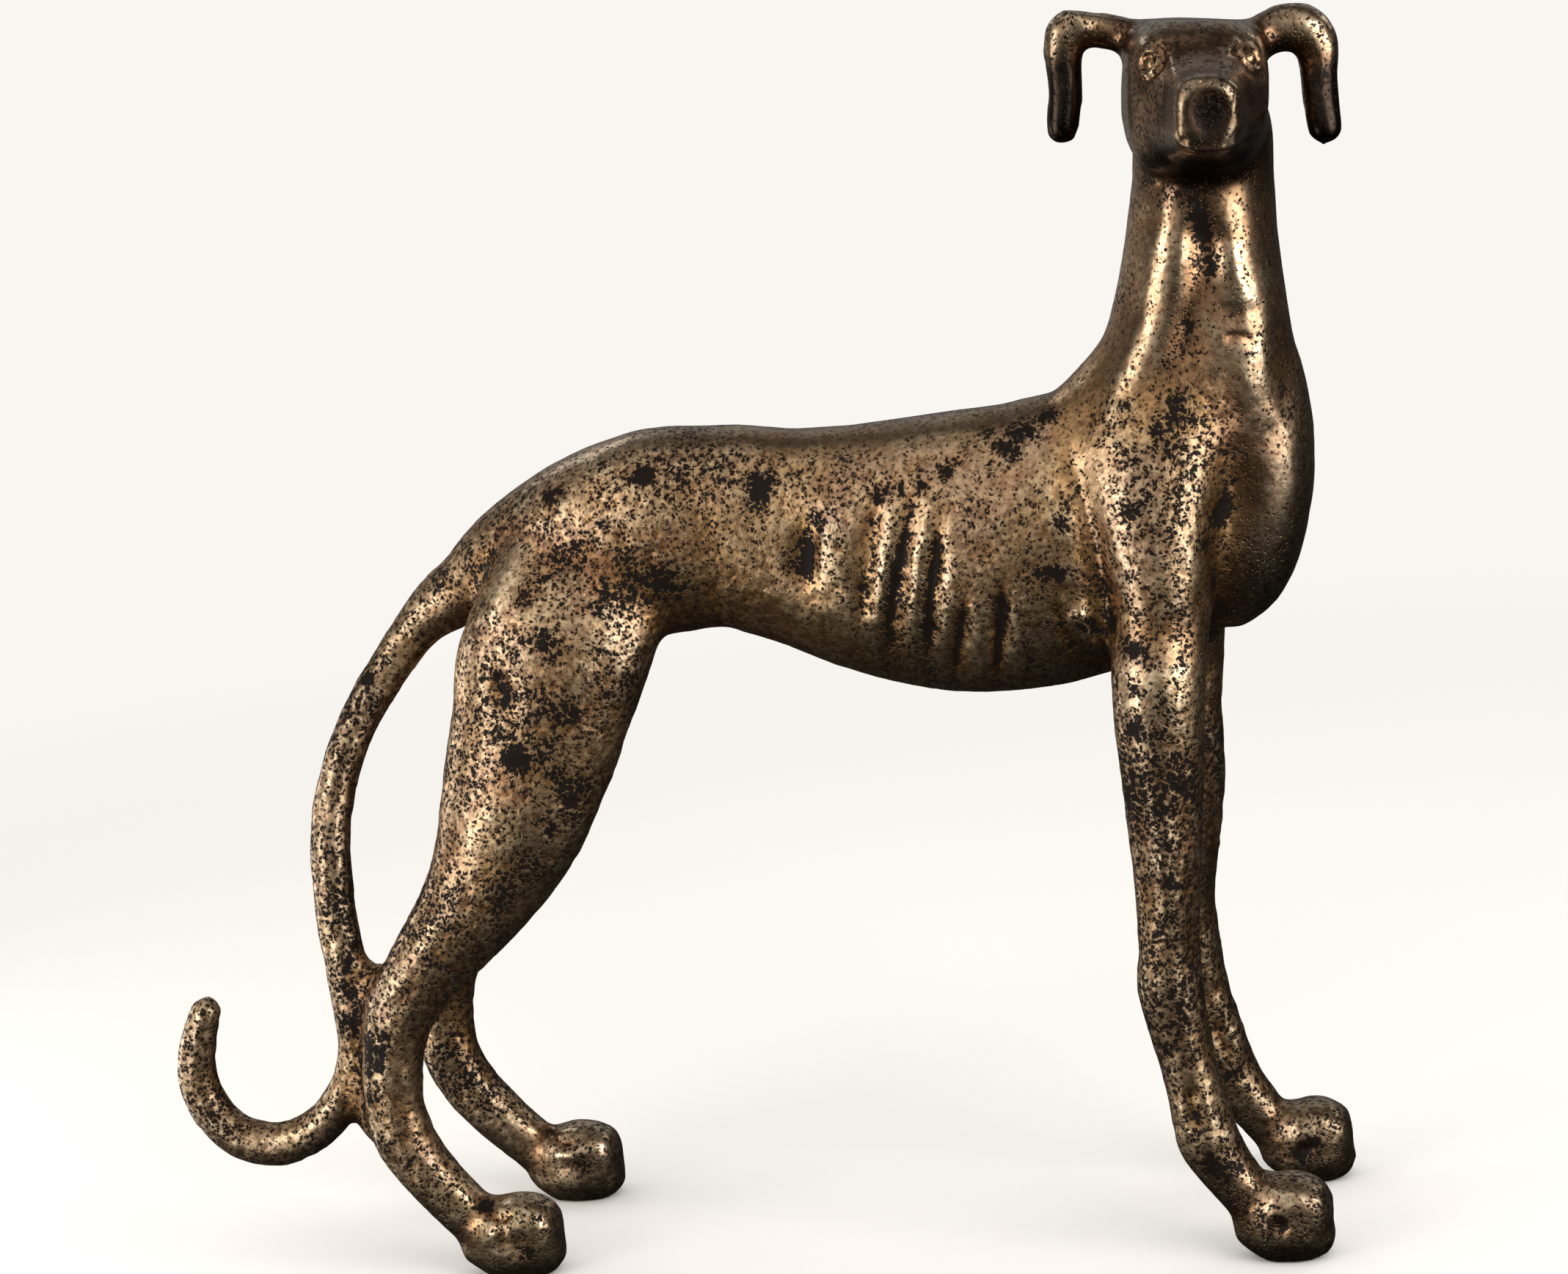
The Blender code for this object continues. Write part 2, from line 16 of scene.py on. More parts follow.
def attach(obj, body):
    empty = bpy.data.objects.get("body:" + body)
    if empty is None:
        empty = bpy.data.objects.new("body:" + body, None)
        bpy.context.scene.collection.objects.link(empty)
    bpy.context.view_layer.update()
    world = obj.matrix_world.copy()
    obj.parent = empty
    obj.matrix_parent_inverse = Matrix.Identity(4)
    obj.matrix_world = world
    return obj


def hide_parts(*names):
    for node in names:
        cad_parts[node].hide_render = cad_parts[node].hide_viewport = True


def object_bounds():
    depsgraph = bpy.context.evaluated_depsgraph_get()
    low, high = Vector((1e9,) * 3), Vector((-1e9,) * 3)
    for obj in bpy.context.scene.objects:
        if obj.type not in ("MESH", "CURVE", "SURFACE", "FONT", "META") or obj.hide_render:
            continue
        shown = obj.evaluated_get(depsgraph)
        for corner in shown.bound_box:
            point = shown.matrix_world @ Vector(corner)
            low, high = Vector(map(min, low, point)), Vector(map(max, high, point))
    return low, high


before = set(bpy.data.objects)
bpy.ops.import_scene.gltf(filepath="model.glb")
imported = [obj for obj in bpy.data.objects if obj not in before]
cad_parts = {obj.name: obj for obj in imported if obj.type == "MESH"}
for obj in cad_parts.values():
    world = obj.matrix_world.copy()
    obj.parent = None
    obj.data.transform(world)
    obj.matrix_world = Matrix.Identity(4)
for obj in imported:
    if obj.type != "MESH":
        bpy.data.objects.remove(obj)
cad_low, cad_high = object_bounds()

MM = 0.001
ORIGIN = np.array([-26.518, -6.122, 0.0])
# The side that the photograph shows and the one behind it, as signs of Y.
NEAR, FAR = -1.0, 1.0

# The skin: its first voxel, how it is eased, and its triangles in the end.
VOXEL = 1.3
ROUNDS_TO_LOSE_FACETS = 60
EASE_SHARE, EASE_BACK = 0.5, 1.03
MOST_TRIANGLES = 196000

# Strokes: the share of the line that fades at each end, how far from the line they are worked out,
# and how much and how finely their edges waver.
PATH_STEPS = 5
STROKE_TAPER = 0.22
STROKE_REACH = 12.0
EDGE_WAVER, WAVER_SIZE = 0.35, 2.6

# The photograph's camera, in the sculptor's frame.
IMAGE_WIDTH = 2137
FOCAL_PIXELS = 5500.0
CAMERA_PLACE = np.array([211.6, -919.9, 323.3])
CAMERA_AZIMUTH, CAMERA_PITCH, CAMERA_ROLL = 14.0, 10.5, 6.0
SENSOR = 36.0

# The head's own frame, as the CAD model turns it.
HEAD_CENTRE = np.array([92.0, -2.0, 268.8])
HEAD_TURN, HEAD_LEAN, HEAD_NOD = 80.0, 6.0, 3.0


def head_axes():
    """Directions of the face in the sculptor's frame: to the dog's left, forward, and up."""
    turn, lean, nod = (math.radians(angle) for angle in (HEAD_TURN, HEAD_LEAN, HEAD_NOD))
    turned = Matrix.Rotation(-turn, 3, "Z")
    leaned = Matrix.Rotation(lean, 3, turned @ Vector((-1, 0, 0)))
    nodded = Matrix.Rotation(nod, 3, turned @ Vector((0, 1, 0)))
    axes = leaned @ nodded @ turned
    return [np.array(axes @ Vector(way)) for way in ((0, 1, 0), (1, 0, 0), (0, 0, 1))]


FACE_LEFT, FACE_FORWARD, FACE_UP = head_axes()


def from_head(left, forward, up):
    """A point in the sculptor's frame from its place in the head."""
    return HEAD_CENTRE + left * FACE_LEFT + forward * FACE_FORWARD + up * FACE_UP


def smooth_path(points):
    """The points joined by a Catmull-Rom curve."""
    rows = np.array(points, float)
    ends = np.vstack([2 * rows[0] - rows[1], rows, 2 * rows[-1] - rows[-2]])
    t = np.linspace(0, 1, PATH_STEPS, endpoint=False)[:, None]
    made = []
    for a, b, c, d in zip(ends, ends[1:], ends[2:], ends[3:]):
        cubic = 2 * b + (c - a) * t + (2 * a - 5 * b + 4 * c - d) * t**2 + (3 * b - a - 3 * c + d) * t**3
        made.append(cubic / 2)
    return np.vstack(made + [rows[-1:]])


def chance(cells, seed):
    """A random number from 0 to 1 for each whole-number cell, the same each run."""
    x, y, z = (cells[:, k].astype(np.int64) for k in range(3))
    mixed = (x * 374761393 + y * 668265263 + z * 2147483647 + seed * 974634777) & 0xFFFFFFFF
    mixed = ((mixed ^ (mixed >> 13)) * 1274126177) & 0xFFFFFFFF
    return (mixed ^ (mixed >> 16)) / 0xFFFFFFFF


def grain(points, size, seed):
    """Smooth noise from -1 to 1 with lumps of about a size in millimetres."""
    place = points / size
    cell = np.floor(place)
    part = place - cell
    part = part * part * (3 - 2 * part)
    total = np.zeros(len(points))
    for corner in np.ndindex(2, 2, 2):
        weight = np.prod(np.where(corner, part, 1 - part), axis=1)
        total += weight * chance(cell + corner, seed)
    return 2 * total - 1


def pits(points, size, share, seed):
    """Round pits, 0 to 1 deep, one in at most a share of the cells of a size."""
    place = points / size
    cell = np.floor(place)
    deep = np.zeros(len(points))
    for shift in np.ndindex(3, 3, 3):
        near = cell + np.array(shift) - 1
        centre = near + np.stack([chance(near, seed + k) for k in range(3)], axis=1)
        there = chance(near, seed + 5) < share
        radius = 0.3 + 0.35 * chance(near, seed + 7)
        reach = np.linalg.norm(place - centre, axis=1) / radius
        deep = np.maximum(deep, np.where(there, np.clip(1 - reach**2, 0, 1), 0))
    return deep


class Clay:
    """A skin as arrays in the sculptor's frame, with the strokes that shape it."""

    def __init__(self, mesh):
        self.mesh = mesh
        flat = np.empty(len(mesh.vertices) * 3, np.float32)
        mesh.vertices.foreach_get("co", flat)
        self.points = flat.reshape(-1, 3).astype(float) / MM + ORIGIN
        ends = np.empty(len(mesh.edges) * 2, np.int32)
        mesh.edges.foreach_get("vertices", ends)
        ends = ends.reshape(-1, 2)
        self.start = np.concatenate([ends[:, 0], ends[:, 1]])
        self.end = np.concatenate([ends[:, 1], ends[:, 0]])
        self.valence = np.bincount(self.start, minlength=len(self.points))

    def averaged(self, values):
        """Each point's neighbours' average of some values."""
        columns = values.reshape(len(values), -1).T
        sums = [np.bincount(self.start, column[self.end], len(values)) / self.valence for column in columns]
        return np.stack(sums, axis=1).reshape(values.shape)

    def ease(self, rounds):
        """Rubs the skin smooth without shrinking it."""
        for _ in range(rounds):
            self.points += EASE_SHARE * (self.averaged(self.points) - self.points)
            self.points -= EASE_SHARE * EASE_BACK * (self.averaged(self.points) - self.points)

    def store(self):
        """Writes the points back to the mesh."""
        flat = ((self.points - ORIGIN) * MM).astype(np.float32).ravel()
        self.mesh.vertices.foreach_set("co", flat)
        self.mesh.update()

    def normals(self):
        """The mesh's normal at each point."""
        self.store()
        flat = np.empty(len(self.points) * 3, np.float32)
        self.mesh.vertices.foreach_get("normal", flat)
        return flat.reshape(-1, 3).astype(float)

    def raised(self, heights):
        """Moves each point out along its normal by its height."""
        self.points += self.normals() * heights[:, None]

    def along(self, line, right, up, facing, least=0.1):
        """How far each point is from a line, how far along it, and how much it faces a way."""
        normals = self.normals()
        flat = np.stack([self.points @ np.array(right), self.points @ np.array(up)], axis=1)
        path = smooth_path(line)
        low, high = path.min(axis=0) - STROKE_REACH, path.max(axis=0) + STROKE_REACH
        near = np.all((flat > low) & (flat < high), axis=1)
        close = flat[near]
        least_reach, share_there = np.full(len(close), np.inf), np.zeros(len(close))
        for count, (a, b) in enumerate(zip(path, path[1:])):
            run = b - a
            share = np.clip((close - a) @ run / run.dot(run), 0, 1)
            reach = np.linalg.norm(close - a - share[:, None] * run, axis=1)
            closer = reach < least_reach
            least_reach[closer] = reach[closer]
            share_there[closer] = (count + share[closer]) / (len(path) - 1)
        nearest, run_share = np.full(len(flat), np.inf), np.zeros(len(flat))
        waver = EDGE_WAVER * grain(self.points[near], WAVER_SIZE, 71)
        nearest[near] = np.maximum(least_reach + waver, 0)
        run_share[near] = share_there
        faces_us = np.clip((normals @ np.array(facing, float) - least) / 0.3, 0, 1)
        taper = np.clip(np.minimum(run_share, 1 - run_share) / STROKE_TAPER, 0.25, 1)
        return nearest, taper, faces_us

    def stroke(self, line, width, depth, right, up, facing):
        """Presses a groove along a line, or raises a ridge where the depth is below 0."""
        nearest, taper, faces_us = self.along(line, right, up, facing)
        self.raised(-depth * taper * faces_us * np.exp(-((nearest / width) ** 2)))

    def side_stroke(self, line, width, depth, sides=(NEAR, FAR)):
        """A stroke on the dog's flank, drawn as x and z."""
        for side in sides:
            self.stroke(line, width, depth, (1, 0, 0), (0, 0, 1), (0, side, 0))

    def face_stroke(self, line, width, depth):
        """A stroke on the face, drawn as left and up in the head's frame."""
        offset = np.array([HEAD_CENTRE @ FACE_LEFT, HEAD_CENTRE @ FACE_UP])
        moved = [tuple(np.array(point) + offset) for point in line]
        self.stroke(moved, width, depth, FACE_LEFT, FACE_UP, FACE_FORWARD)

    def dab(self, centre, radius, height):
        """Raises a round swelling, or sinks a pit where the height is below 0."""
        reach = np.linalg.norm(self.points - np.array(centre, float), axis=1)
        self.raised(height * np.exp(-((reach / radius) ** 2)))


# Strokes on the flanks, as x and z: a line, its width, how deep it is pressed or, below 0, raised,
# and how black a rib's groove is.
RIBS = (
    ([(12.8, 183), (10.4, 169), (7.2, 160), (4.6, 152)], 1.2, 0.1, 0.2),
    ([(20.4, 182), (16.6, 168.5), (14.6, 161.7), (12.1, 153), (9.8, 142)], 1.3, 0.4, 0.5),
    ([(27.2, 178), (25.3, 168), (23.4, 161), (21.5, 150.6), (19.3, 139)], 1.4, 0.6, 0.6),
    ([(31.4, 157), (28.3, 148.4), (25.1, 137)], 1.2, 0.5, 0.6),
    ([(40.8, 160), (38.2, 149.6), (34.9, 135)], 1.5, 0.7, 0.7),
    ([(45.2, 146), (42, 135)], 1.1, 0.2, 0.4),
)
RIDGES = (
    ([(16.6, 178), (13.4, 164), (9, 148)], 2.4, -0.15),
    ([(24, 178), (20.9, 165), (17, 147)], 2.4, -0.2),
    ([(29.6, 175), (27.6, 163), (24.6, 147)], 2.4, -0.2),
    ([(36.4, 160), (33.4, 150), (30, 140)], 2.8, -0.15),
)
FURROWS = (
    ([(56, 193.5), (60.9, 176.4), (63.6, 159.3), (64.9, 145.5)], 2.0, 0.2),
    ([(94.2, 186), (90.5, 166), (86.3, 145.7)], 2.4, 0.3),
    ([(-81.4, 149), (-80.6, 144.7), (-79.6, 140)], 2.0, 0.7),
    ([(-74.5, 178), (-77.7, 171.6), (-81.7, 163.7), (-85.2, 156.3)], 3.4, -1.0),
    ([(-84.5, 174), (-88, 166), (-91.5, 155)], 3.4, 0.7),
    ([(52.6, 157), (53.4, 149), (56, 142)], 1.5, 0.8),
    ([(57.2, 156), (58.4, 149), (60.2, 142)], 1.5, -1.1),
    ([(-47.7, 153.9), (-52.2, 143.2)], 2.2, -0.5),
    ([(72.5, 118), (73, 100), (73.4, 86), (74, 70)], 2.4, -0.6),
    ([(78.4, 122), (79, 100), (78.6, 82), (77, 68)], 1.8, 0.55),
    ([(67.5, 112), (68, 96), (69, 80)], 1.8, 0.4),
)

# Dark patches read off the photograph: x, y, z, how wide and how dense.
PATCHES = (
    (77, -24, 176, 11.0, 0.5), (84, -21, 187, 9.0, 0.5), (76, -27, 155, 9.0, 0.46),
    (-68, -13, 187, 2.6, 1.0), (-54, -13, 193, 1.4, 0.9), (-44, -15, 191, 3.0, 1.0),
    (-34, -14, 192, 2.4, 0.5), (-22, -12, 192, 2.6, 0.5), (-23, -15, 188, 2.3, 0.6),
    (-16, -15, 187, 3.5, 1.0), (-16, -17, 182, 2.6, 0.8), (-13, -17, 180, 1.4, 0.8),
    (-55, -18, 181, 1.7, 0.9), (-61, -18, 174, 5.6, 0.55), (-47, -18, 169, 7.3, 0.6),
    (-41, -17, 165, 5.6, 0.8), (-51, -19, 163, 6.6, 0.6), (-55, -22, 161, 3.1, 0.6),
    (-68, -22, 169, 1.7, 0.8), (-66, -18, 173, 2.8, 0.6), (-73, -24, 165, 3.5, 0.55),
    (-68, -28, 155, 4.9, 0.7), (-83, -23, 163, 4.2, 0.5), (-79, -28, 144, 2.8, 0.6),
    (-85, -28, 141, 3.5, 0.5), (-70, -29, 136, 9.6, 0.55), (-64, -28, 138, 3.5, 0.75),
    (-57, -25, 144, 3.1, 0.6), (-51, -21, 141, 1.2, 0.8), (-29, -17, 179, 5.9, 0.35),
    (-91, -9, 175, 3.1, 0.7), (-100, -6, 168, 3.5, 0.7), (-91, -10, 171, 2.6, 0.6),
    (-76, -27, 155, 5.2, 0.45), (-2, -18, 178, 2.3, 0.85), (-5, -17, 171, 3.1, 0.7),
    (-7, -17, 167, 2.4, 0.95), (-11, -18, 168, 3.1, 0.5), (13, -18, 183, 2.3, 0.85),
    (20, -20, 180, 1.9, 0.85), (4, -19, 178, 1.6, 0.6), (47, -14, 195, 3.8, 0.85),
    (43, -16, 191, 3.3, 0.75), (39, -18, 187, 2.4, 0.55), (52, -11, 198, 2.4, 0.9),
    (53, -22, 163, 2.6, 1.0), (49, -22, 163, 1.6, 0.9), (50, -22, 160, 1.4, 0.7),
    (56, -22, 174, 2.3, 0.8), (56, -21, 178, 1.7, 0.6), (46, -22, 172, 3.1, 0.35),
    (38, -23, 168, 2.8, 0.45), (58, -20, 150, 2.8, 0.9), (73, -22, 189, 3.8, 0.55),
    (72, -25, 177, 3.0, 0.75), (76, -24, 183, 3.8, 0.6), (82, -21, 190, 3.8, 0.75),
    (85, -19, 194, 3.1, 0.75), (89, -20, 184, 3.1, 0.5), (66, -18, 195, 3.5, 0.45),
    (71, -18, 199, 4.5, 0.5), (79, -21, 194, 2.3, 0.85), (83, -19, 199, 3.5, 0.75),
    (90, -17, 172, 2.6, 0.95), (87, -20, 168, 3.0, 0.85), (92, -15, 175, 1.9, 0.9),
    (88, -15, 157, 1.7, 0.9), (88, -10, 150, 2.8, 0.9), (83, 13, 140, 3.5, 0.85),
    (65, -21, 150, 1.9, 0.9), (70, -27, 146, 3.0, 0.85), (73, -29, 143, 2.8, 0.75),
    (70, -29, 136, 2.3, 0.85), (80, -27, 147, 2.4, 0.5), (83, -25, 148, 2.1, 0.5),
    (81, -27, 142, 1.9, 0.6), (77, -30, 132, 2.8, 0.65), (70, -30, 128, 3.5, 0.85),
    (80, -29, 128, 2.4, 0.45), (107, -9, 195, 2.1, 0.8), (107, -9, 200, 1.7, 0.6),
    (91.6, -16, 241, 2.6, 1.0), (90.4, -16, 245, 2.4, 0.9), (92.6, -15, 236, 2.4, 0.85),
    (95, -15, 231, 3.6, 0.5), (18, -18, 184, 1.4, 0.9), (23, -18, 185.5, 1.8, 0.95),
    (29, -17, 188, 2.2, 0.95), (34, -15, 192, 1.6, 0.8), (39, -12, 195, 2.0, 0.75),
    (84, -15, 246, 2.4, 0.5), (88, -15, 217, 1.4, 0.8),
    (-129.5, -27, 72, 3.2, 0.75), (-129.5, -27.5, 64, 3.0, 0.75), (-123.5, -32, 61, 3.0, 0.9),
    (-122, -34, 55, 3.2, 0.9), (-123, -34, 48, 2.8, 0.75), (-126, -31, 41, 2.4, 0.6),
    (-169, -26, 56, 2.4, 0.6), (-168, -25.6, 47, 2.2, 0.55),
    (82, -17, 208, 2.3, 0.6), (80, -15, 223, 1.0, 0.9), (103, -13, 213, 1.6, 0.6),
    (101, -14, 209, 1.4, 0.6), (104, -12, 209, 1.0, 0.6), (106, -8, 227, 0.7, 1.0),
    (80, -11, 250, 2.8, 0.6), (-78, -31, 128, 3.8, 1.0), (-80, -31, 129, 2.1, 1.0),
    (-72, -30, 128, 3.5, 0.75), (-69, -29, 122, 3.5, 0.65), (-64, -27, 120, 3.8, 0.8),
    (-67, -28, 116, 2.8, 0.85), (-72, -30, 110, 2.1, 0.9), (-65, -26, 112, 2.3, 0.65),
    (-78, -31, 102, 4.5, 0.65), (-82, -31, 98, 4.2, 0.65), (-86, -32, 94, 4.2, 0.7),
    (-75, -29, 99, 2.8, 0.65), (-88, -32, 97, 2.3, 0.6), (-100, -31, 100, 1.6, 0.8),
    (-98, -32, 96, 1.9, 0.55), (-80, -30, 134, 4.9, 0.6), (-86, -29, 134, 3.1, 0.6),
    (-91, -31, 117, 10.4, 0.22), (-80, -32, 113, 10.4, 0.22), (-121, -9, 144, 1.7, 0.85),
    (-119, -9, 146, 2.1, 0.75), (-124, -13, 135, 1.4, 0.75), (-123, -12, 139, 1.4, 0.5),
    (-128, -26, 79, 1.9, 1.0), (-127, -24, 82, 1.7, 0.85), (-128, -26, 75, 1.7, 0.6),
    (-168, -26, 62, 2.4, 0.55), (-168, -26, 56, 2.8, 0.6), (-166, -25, 45, 2.8, 0.7),
    (-163, -27, 38, 2.8, 0.7), (-158, -27, 32, 2.8, 0.5), (-138, -26, 36, 2.1, 0.5),
    (-120, -34, 59, 2.8, 0.9), (-123, -33, 52, 2.4, 0.85), (-125, -33, 46, 2.1, 0.85),
    (-119, -34, 62, 2.1, 0.8), (-115, -33, 58, 1.7, 0.7), (-115, -33, 49, 2.1, 0.55),
    (-112, -30, 56, 2.1, 0.55), (-113, -30, 41, 1.7, 0.7), (-110, -34, 24, 2.1, 0.5),
    (-99, -31, 19, 2.4, 0.8), (-115, 22, 28, 3.1, 0.65), (-118, 22, 34, 2.8, 0.6),
    (-111, 22, 24, 2.8, 0.6), (-121, 22, 40, 3.5, 0.45), (-90, 20, 11, 2.1, 0.7),
    (-85, -34, 16, 1.7, 0.7), (-87, -36, 8, 2.1, 0.8), (78, -30, 120, 2.4, 0.8),
    (74, -31, 126, 2.1, 0.8), (76, -30, 116, 2.8, 0.7), (66, -27, 108, 2.1, 0.8),
    (78, -29, 108, 3.1, 0.6), (74, -31, 100, 2.4, 0.8), (75, -31, 91, 2.8, 0.7),
    (78, -29, 82, 2.8, 0.8), (67, -29, 83, 2.4, 0.55), (66, -29, 74, 2.4, 0.6),
    (74, -32, 69, 1.7, 0.9),
    (74, -33, 58, 2.4, 0.95), (72, -33, 50, 2.8, 0.6), (76, -32, 48, 2.4, 0.7), (76, 21, 40, 1.7, 0.8),
    (77, 22, 28, 2.4, 0.9), (79, -35, 24, 2.8, 0.95), (82, -34, 20, 2.4, 0.9), (94, -37, 10, 1.7, 0.9),
    (92, -36, 7, 2.4, 0.6), (98, -37, 7, 2.4, 0.6), (100, -36, 9, 1.4, 0.8), (96, 20, 11, 2.1, 0.95),
    (92, 19, 8, 1.7, 0.9), (96, 21, 16, 1.4, 0.8), (86, -34, 14, 1.7, 0.6),
)

# How far the far side's dark patches are shifted from the near side's, in x and z.
FAR_SHIFT = (5, -3)

# Painted highlights on the near side, drawn as strokes in x and z: a line, its width and how much.
PAINTED_HIGHLIGHTS = (
    ([(-74, 179), (-78, 171), (-83, 162)], 3.8, 0.9),
    ([(85, 245), (84.2, 233), (81, 220), (76, 211), (69, 201)], 2.6, 0.7),
    ([(99, 237), (99.6, 227), (101, 217)], 5.4, 0.85),
    ([(100, 209), (101.6, 198), (103, 186)], 4.2, 0.8),
    ([(64, 191), (63.6, 182), (65.4, 173)], 3.8, 0.55),
    ([(-100, 152), (-102, 140), (-102, 126)], 3.4, 0.6),
    ([(-120, 73), (-112, 79), (-104, 87)], 3.0, 0.6),
    ([(-126, 133), (-130.4, 124), (-133.6, 112), (-134, 98), (-133, 88)], 1.8, 0.7),
    ([(87, 15), (94, 17), (100, 13)], 3.6, 0.7),
    ([(70, 70), (71, 64)], 3.0, 0.5),
    ([(-113, 66), (-114, 57), (-114.3, 50), (-112, 40), (-108, 31)], 2.4, 0.55),
    ([(-163, 37), (-156, 33.5), (-150, 33.6), (-142, 39)], 2.4, 0.6),
    ([(-166, 67), (-167.5, 62), (-170, 55)], 1.4, 0.5),
)

# Strokes on the paws: the side, a line as x and z, its width and how deep.
FEET_STROKES = (
    (NEAR, [(-100.5, 20), (-97.6, 17.6), (-94, 15.8), (-90.5, 16.8)], 1.3, 0.9),
    (NEAR, [(-99, 13.6), (-92.9, 13.4), (-87, 15)], 2.2, -0.6),
    (NEAR, [(72, 40), (73.4, 35), (76, 30)], 1.5, -0.6),
    (NEAR, [(75.2, 44), (75.4, 38), (77, 34)], 1.2, 0.5),
    (NEAR, [(78.6, 42), (79, 37), (80, 32)], 1.4, -0.5),
    (NEAR, [(92, 20), (96, 18.8), (100, 17.5)], 0.8, 0.4),
    (NEAR, [(-126.8, 66), (-127.6, 58), (-128.4, 48), (-127.8, 40)], 1.2, 0.8),
    (NEAR, [(-121, 70), (-116, 75), (-108, 82), (-98, 94)], 2.6, -0.5),
    (FAR, [(-99.2, 15.4), (-94.4, 15.4), (-91, 12.2), (-89.2, 8.4), (-89, 5)], 1.2, 0.9),
    (FAR, [(85.4, 10.2), (87.6, 14), (91.6, 16.9), (96.4, 15.8), (99, 12.6)], 1.1, 0.7),
    (FAR, [(88, 16.5), (92, 19.2), (98, 17.6), (101.5, 15)], 1.3, -0.4),
)
FEET_DABS = (
    ((93.7, -36.5, 9.8), 1.7, -1.2),
    ((78.6, -34.8, 31), 3.0, 0.6),
    ((92.4, 20.2, 12.2), 3.6, 0.8),
    ((94.0, 19.4, 9.6), 1.6, -1.3),
    ((70.5, -32.6, 67), 3.0, 0.4),
    ((-121.6, -31, 69.4), 3.4, 0.5),
    ((-97.6, -33.5, 11), 3.0, 0.5),
)

# Strokes down the throat, as x and z: a line, its width and how deep.
NECK_STROKES = (
    ([(87.8, 246), (86.8, 233.2), (83.8, 220.9), (78.7, 212.7), (72.3, 203.4), (64.7, 193.6)], 4.6, -1.2),
    ([(104, 231.1), (103.1, 221.8), (101.8, 214.4), (101, 208), (102.3, 198), (103, 184)], 4.6, -0.4),
    ([(98, 237), (98.6, 227), (99.6, 217)], 4.2, -0.8),
    ([(92.4, 244), (93, 233), (94.8, 223), (98, 214)], 3.6, 1.0),
    ([(94.5, 212.6), (98.5, 213.2), (103, 211.2)], 0.9, 0.35),
)

# The head, in its own frame as left, forward and up: the flat tops of the skull and of the right
# ear's bar, the eyes as left and up with their place forward, and the middle of the nose pad.
CROWN = (0, 0, 15.3)
EAR_TOP = (-22, -5, 15.6)
EYES = ((-10.7, 7.2), (9.9, 8.4))
EYE_FORWARD = 20.4
PAD_CENTRE = (0.3, 48, 0)

# Strokes on the face, as left and up: a line, its width and how deep. Then the nose pad's rim and
# the mouth, and swellings, or pits below 0, with their place, radius and height.
FACE_STROKES = (
    ([(4.0, 9.2), (6.2, 11.0), (8.4, 12.6)], 0.9, -1.1),
    ([(-7.4, 9.0), (-8.2, 10.6), (-9.2, 12.0)], 0.9, -0.9),
    ([(-13.4, 10.0), (-12.0, 11.4), (-10.0, 11.2)], 0.8, -0.5),
    ([(-6.2, 12.4), (-6.6, 8.6), (-6.8, 6)], 0.9, -0.6),
    ([(3.0, 12.0), (4.4, 9.0), (6.6, 6.8)], 0.9, -0.5),
    ([(-8.6, 10), (-9.0, 5), (-9.2, 0), (-9.2, -5)], 1.5, 0.9),
    ([(7.6, 7.2), (9.2, 4), (10.6, 0), (11.6, -3)], 1.2, 0.8),
    ([(13.4, 5), (14.2, 0), (15.2, -6)], 1.3, -0.5),
)
PAD_RIM = [
    (-7.2, 0.1), (-5.8, 6.8), (-3.4, 8.4), (2.2, 8.2), (6.0, 6.8), (8.0, 0.2), (8.2, -5.0), (6.4, -7.6),
    (0.9, -8.5), (-3.4, -8.2), (-6.4, -5.6), (-7.2, 0.1),
]
MOUTH = [(-9.2, -7.0), (-4.0, -9.8), (0.0, -10.4), (10.0, -9.2), (14.6, -7.6)]
HEAD_DABS = (
    ((8.4, 45, -3.5), 2.0, 0.6),
    ((-31.4, -5, 12.2), 3.0, 0.7),
)
NOSE_DABS = (
    ((-5.0, 46, -6.6), 1.2, -1.3),
    ((9.0, 43, -4.6), 1.2, 0.8),
    ((9.8, 42, -7.0), 1.2, 0.8),
    ((8.2, 44, -6.6), 0.8, -0.9),
)

# Where the head is darker, or brighter below 0: a place in the head, how wide and how much. The spot
# under the jaw is painted shade and the one on the nose pad is patina; the bright spots on the eyes, brows,
# bridge, ear roots and jaw are painted highlights and glints, and the cheeks are lighter.
FACE_TONES = (
    ((-10.7, 20.4, 7.2), 3.6, -0.35), ((9.9, 20.4, 8.4), 4.4, -0.4), ((6.4, 21, 11.2), 2.6, -0.4),
    ((-8.2, 20, 10.6), 2.4, -0.3), ((0.5, 49, -1.5), 6.4, 0.5), ((0, 26, -17), 13.0, 0.5),
    ((-10.5, 24, -2), 6.0, -0.2), ((-19.6, 4, 12.6), 2.6, -0.5), ((14.4, 5, 12.3), 2.8, -0.5),
    ((-1, 36, 10), 5.0, -0.15), ((12, 30, -3), 5.0, -0.12), ((-14.5, 15, -14.1), 2.4, -0.5),
    ((15.5, 12, -14.5), 2.4, -0.5),
)

# Where the parts of the dog begin, each as a fade between two heights or two places along X.
HEAD_ABOVE = (241, 249)
NECK_ABOVE, NECK_BEYOND = (198, 212), (60, 70)
PROW_ABOVE, PROW_BEYOND = (132, 150), (90, 99)
LEGS_BELOW, PAWS_BELOW = (112, 134), (18, 26)
HAUNCH_BEHIND = (10, 40)
TAIL_ABOVE, TAIL_BEHIND = (84, 92), (106, 116)
FORELEGS_BEYOND = (-20, 20)
TOP_ABOVE, TOP_FACING = (150, 170), (0.55, 0.92)


def step(value, low, high):
    """Smoothly from 0 to 1 as a value goes from low to high."""
    t = np.clip((value - low) / (high - low), 0, 1)
    return t * t * (3 - 2 * t)


def evaluated(obj):
    """The mesh that an object's modifiers make."""
    graph = bpy.context.evaluated_depsgraph_get()
    return bpy.data.meshes.new_from_object(obj.evaluated_get(graph), depsgraph=graph)


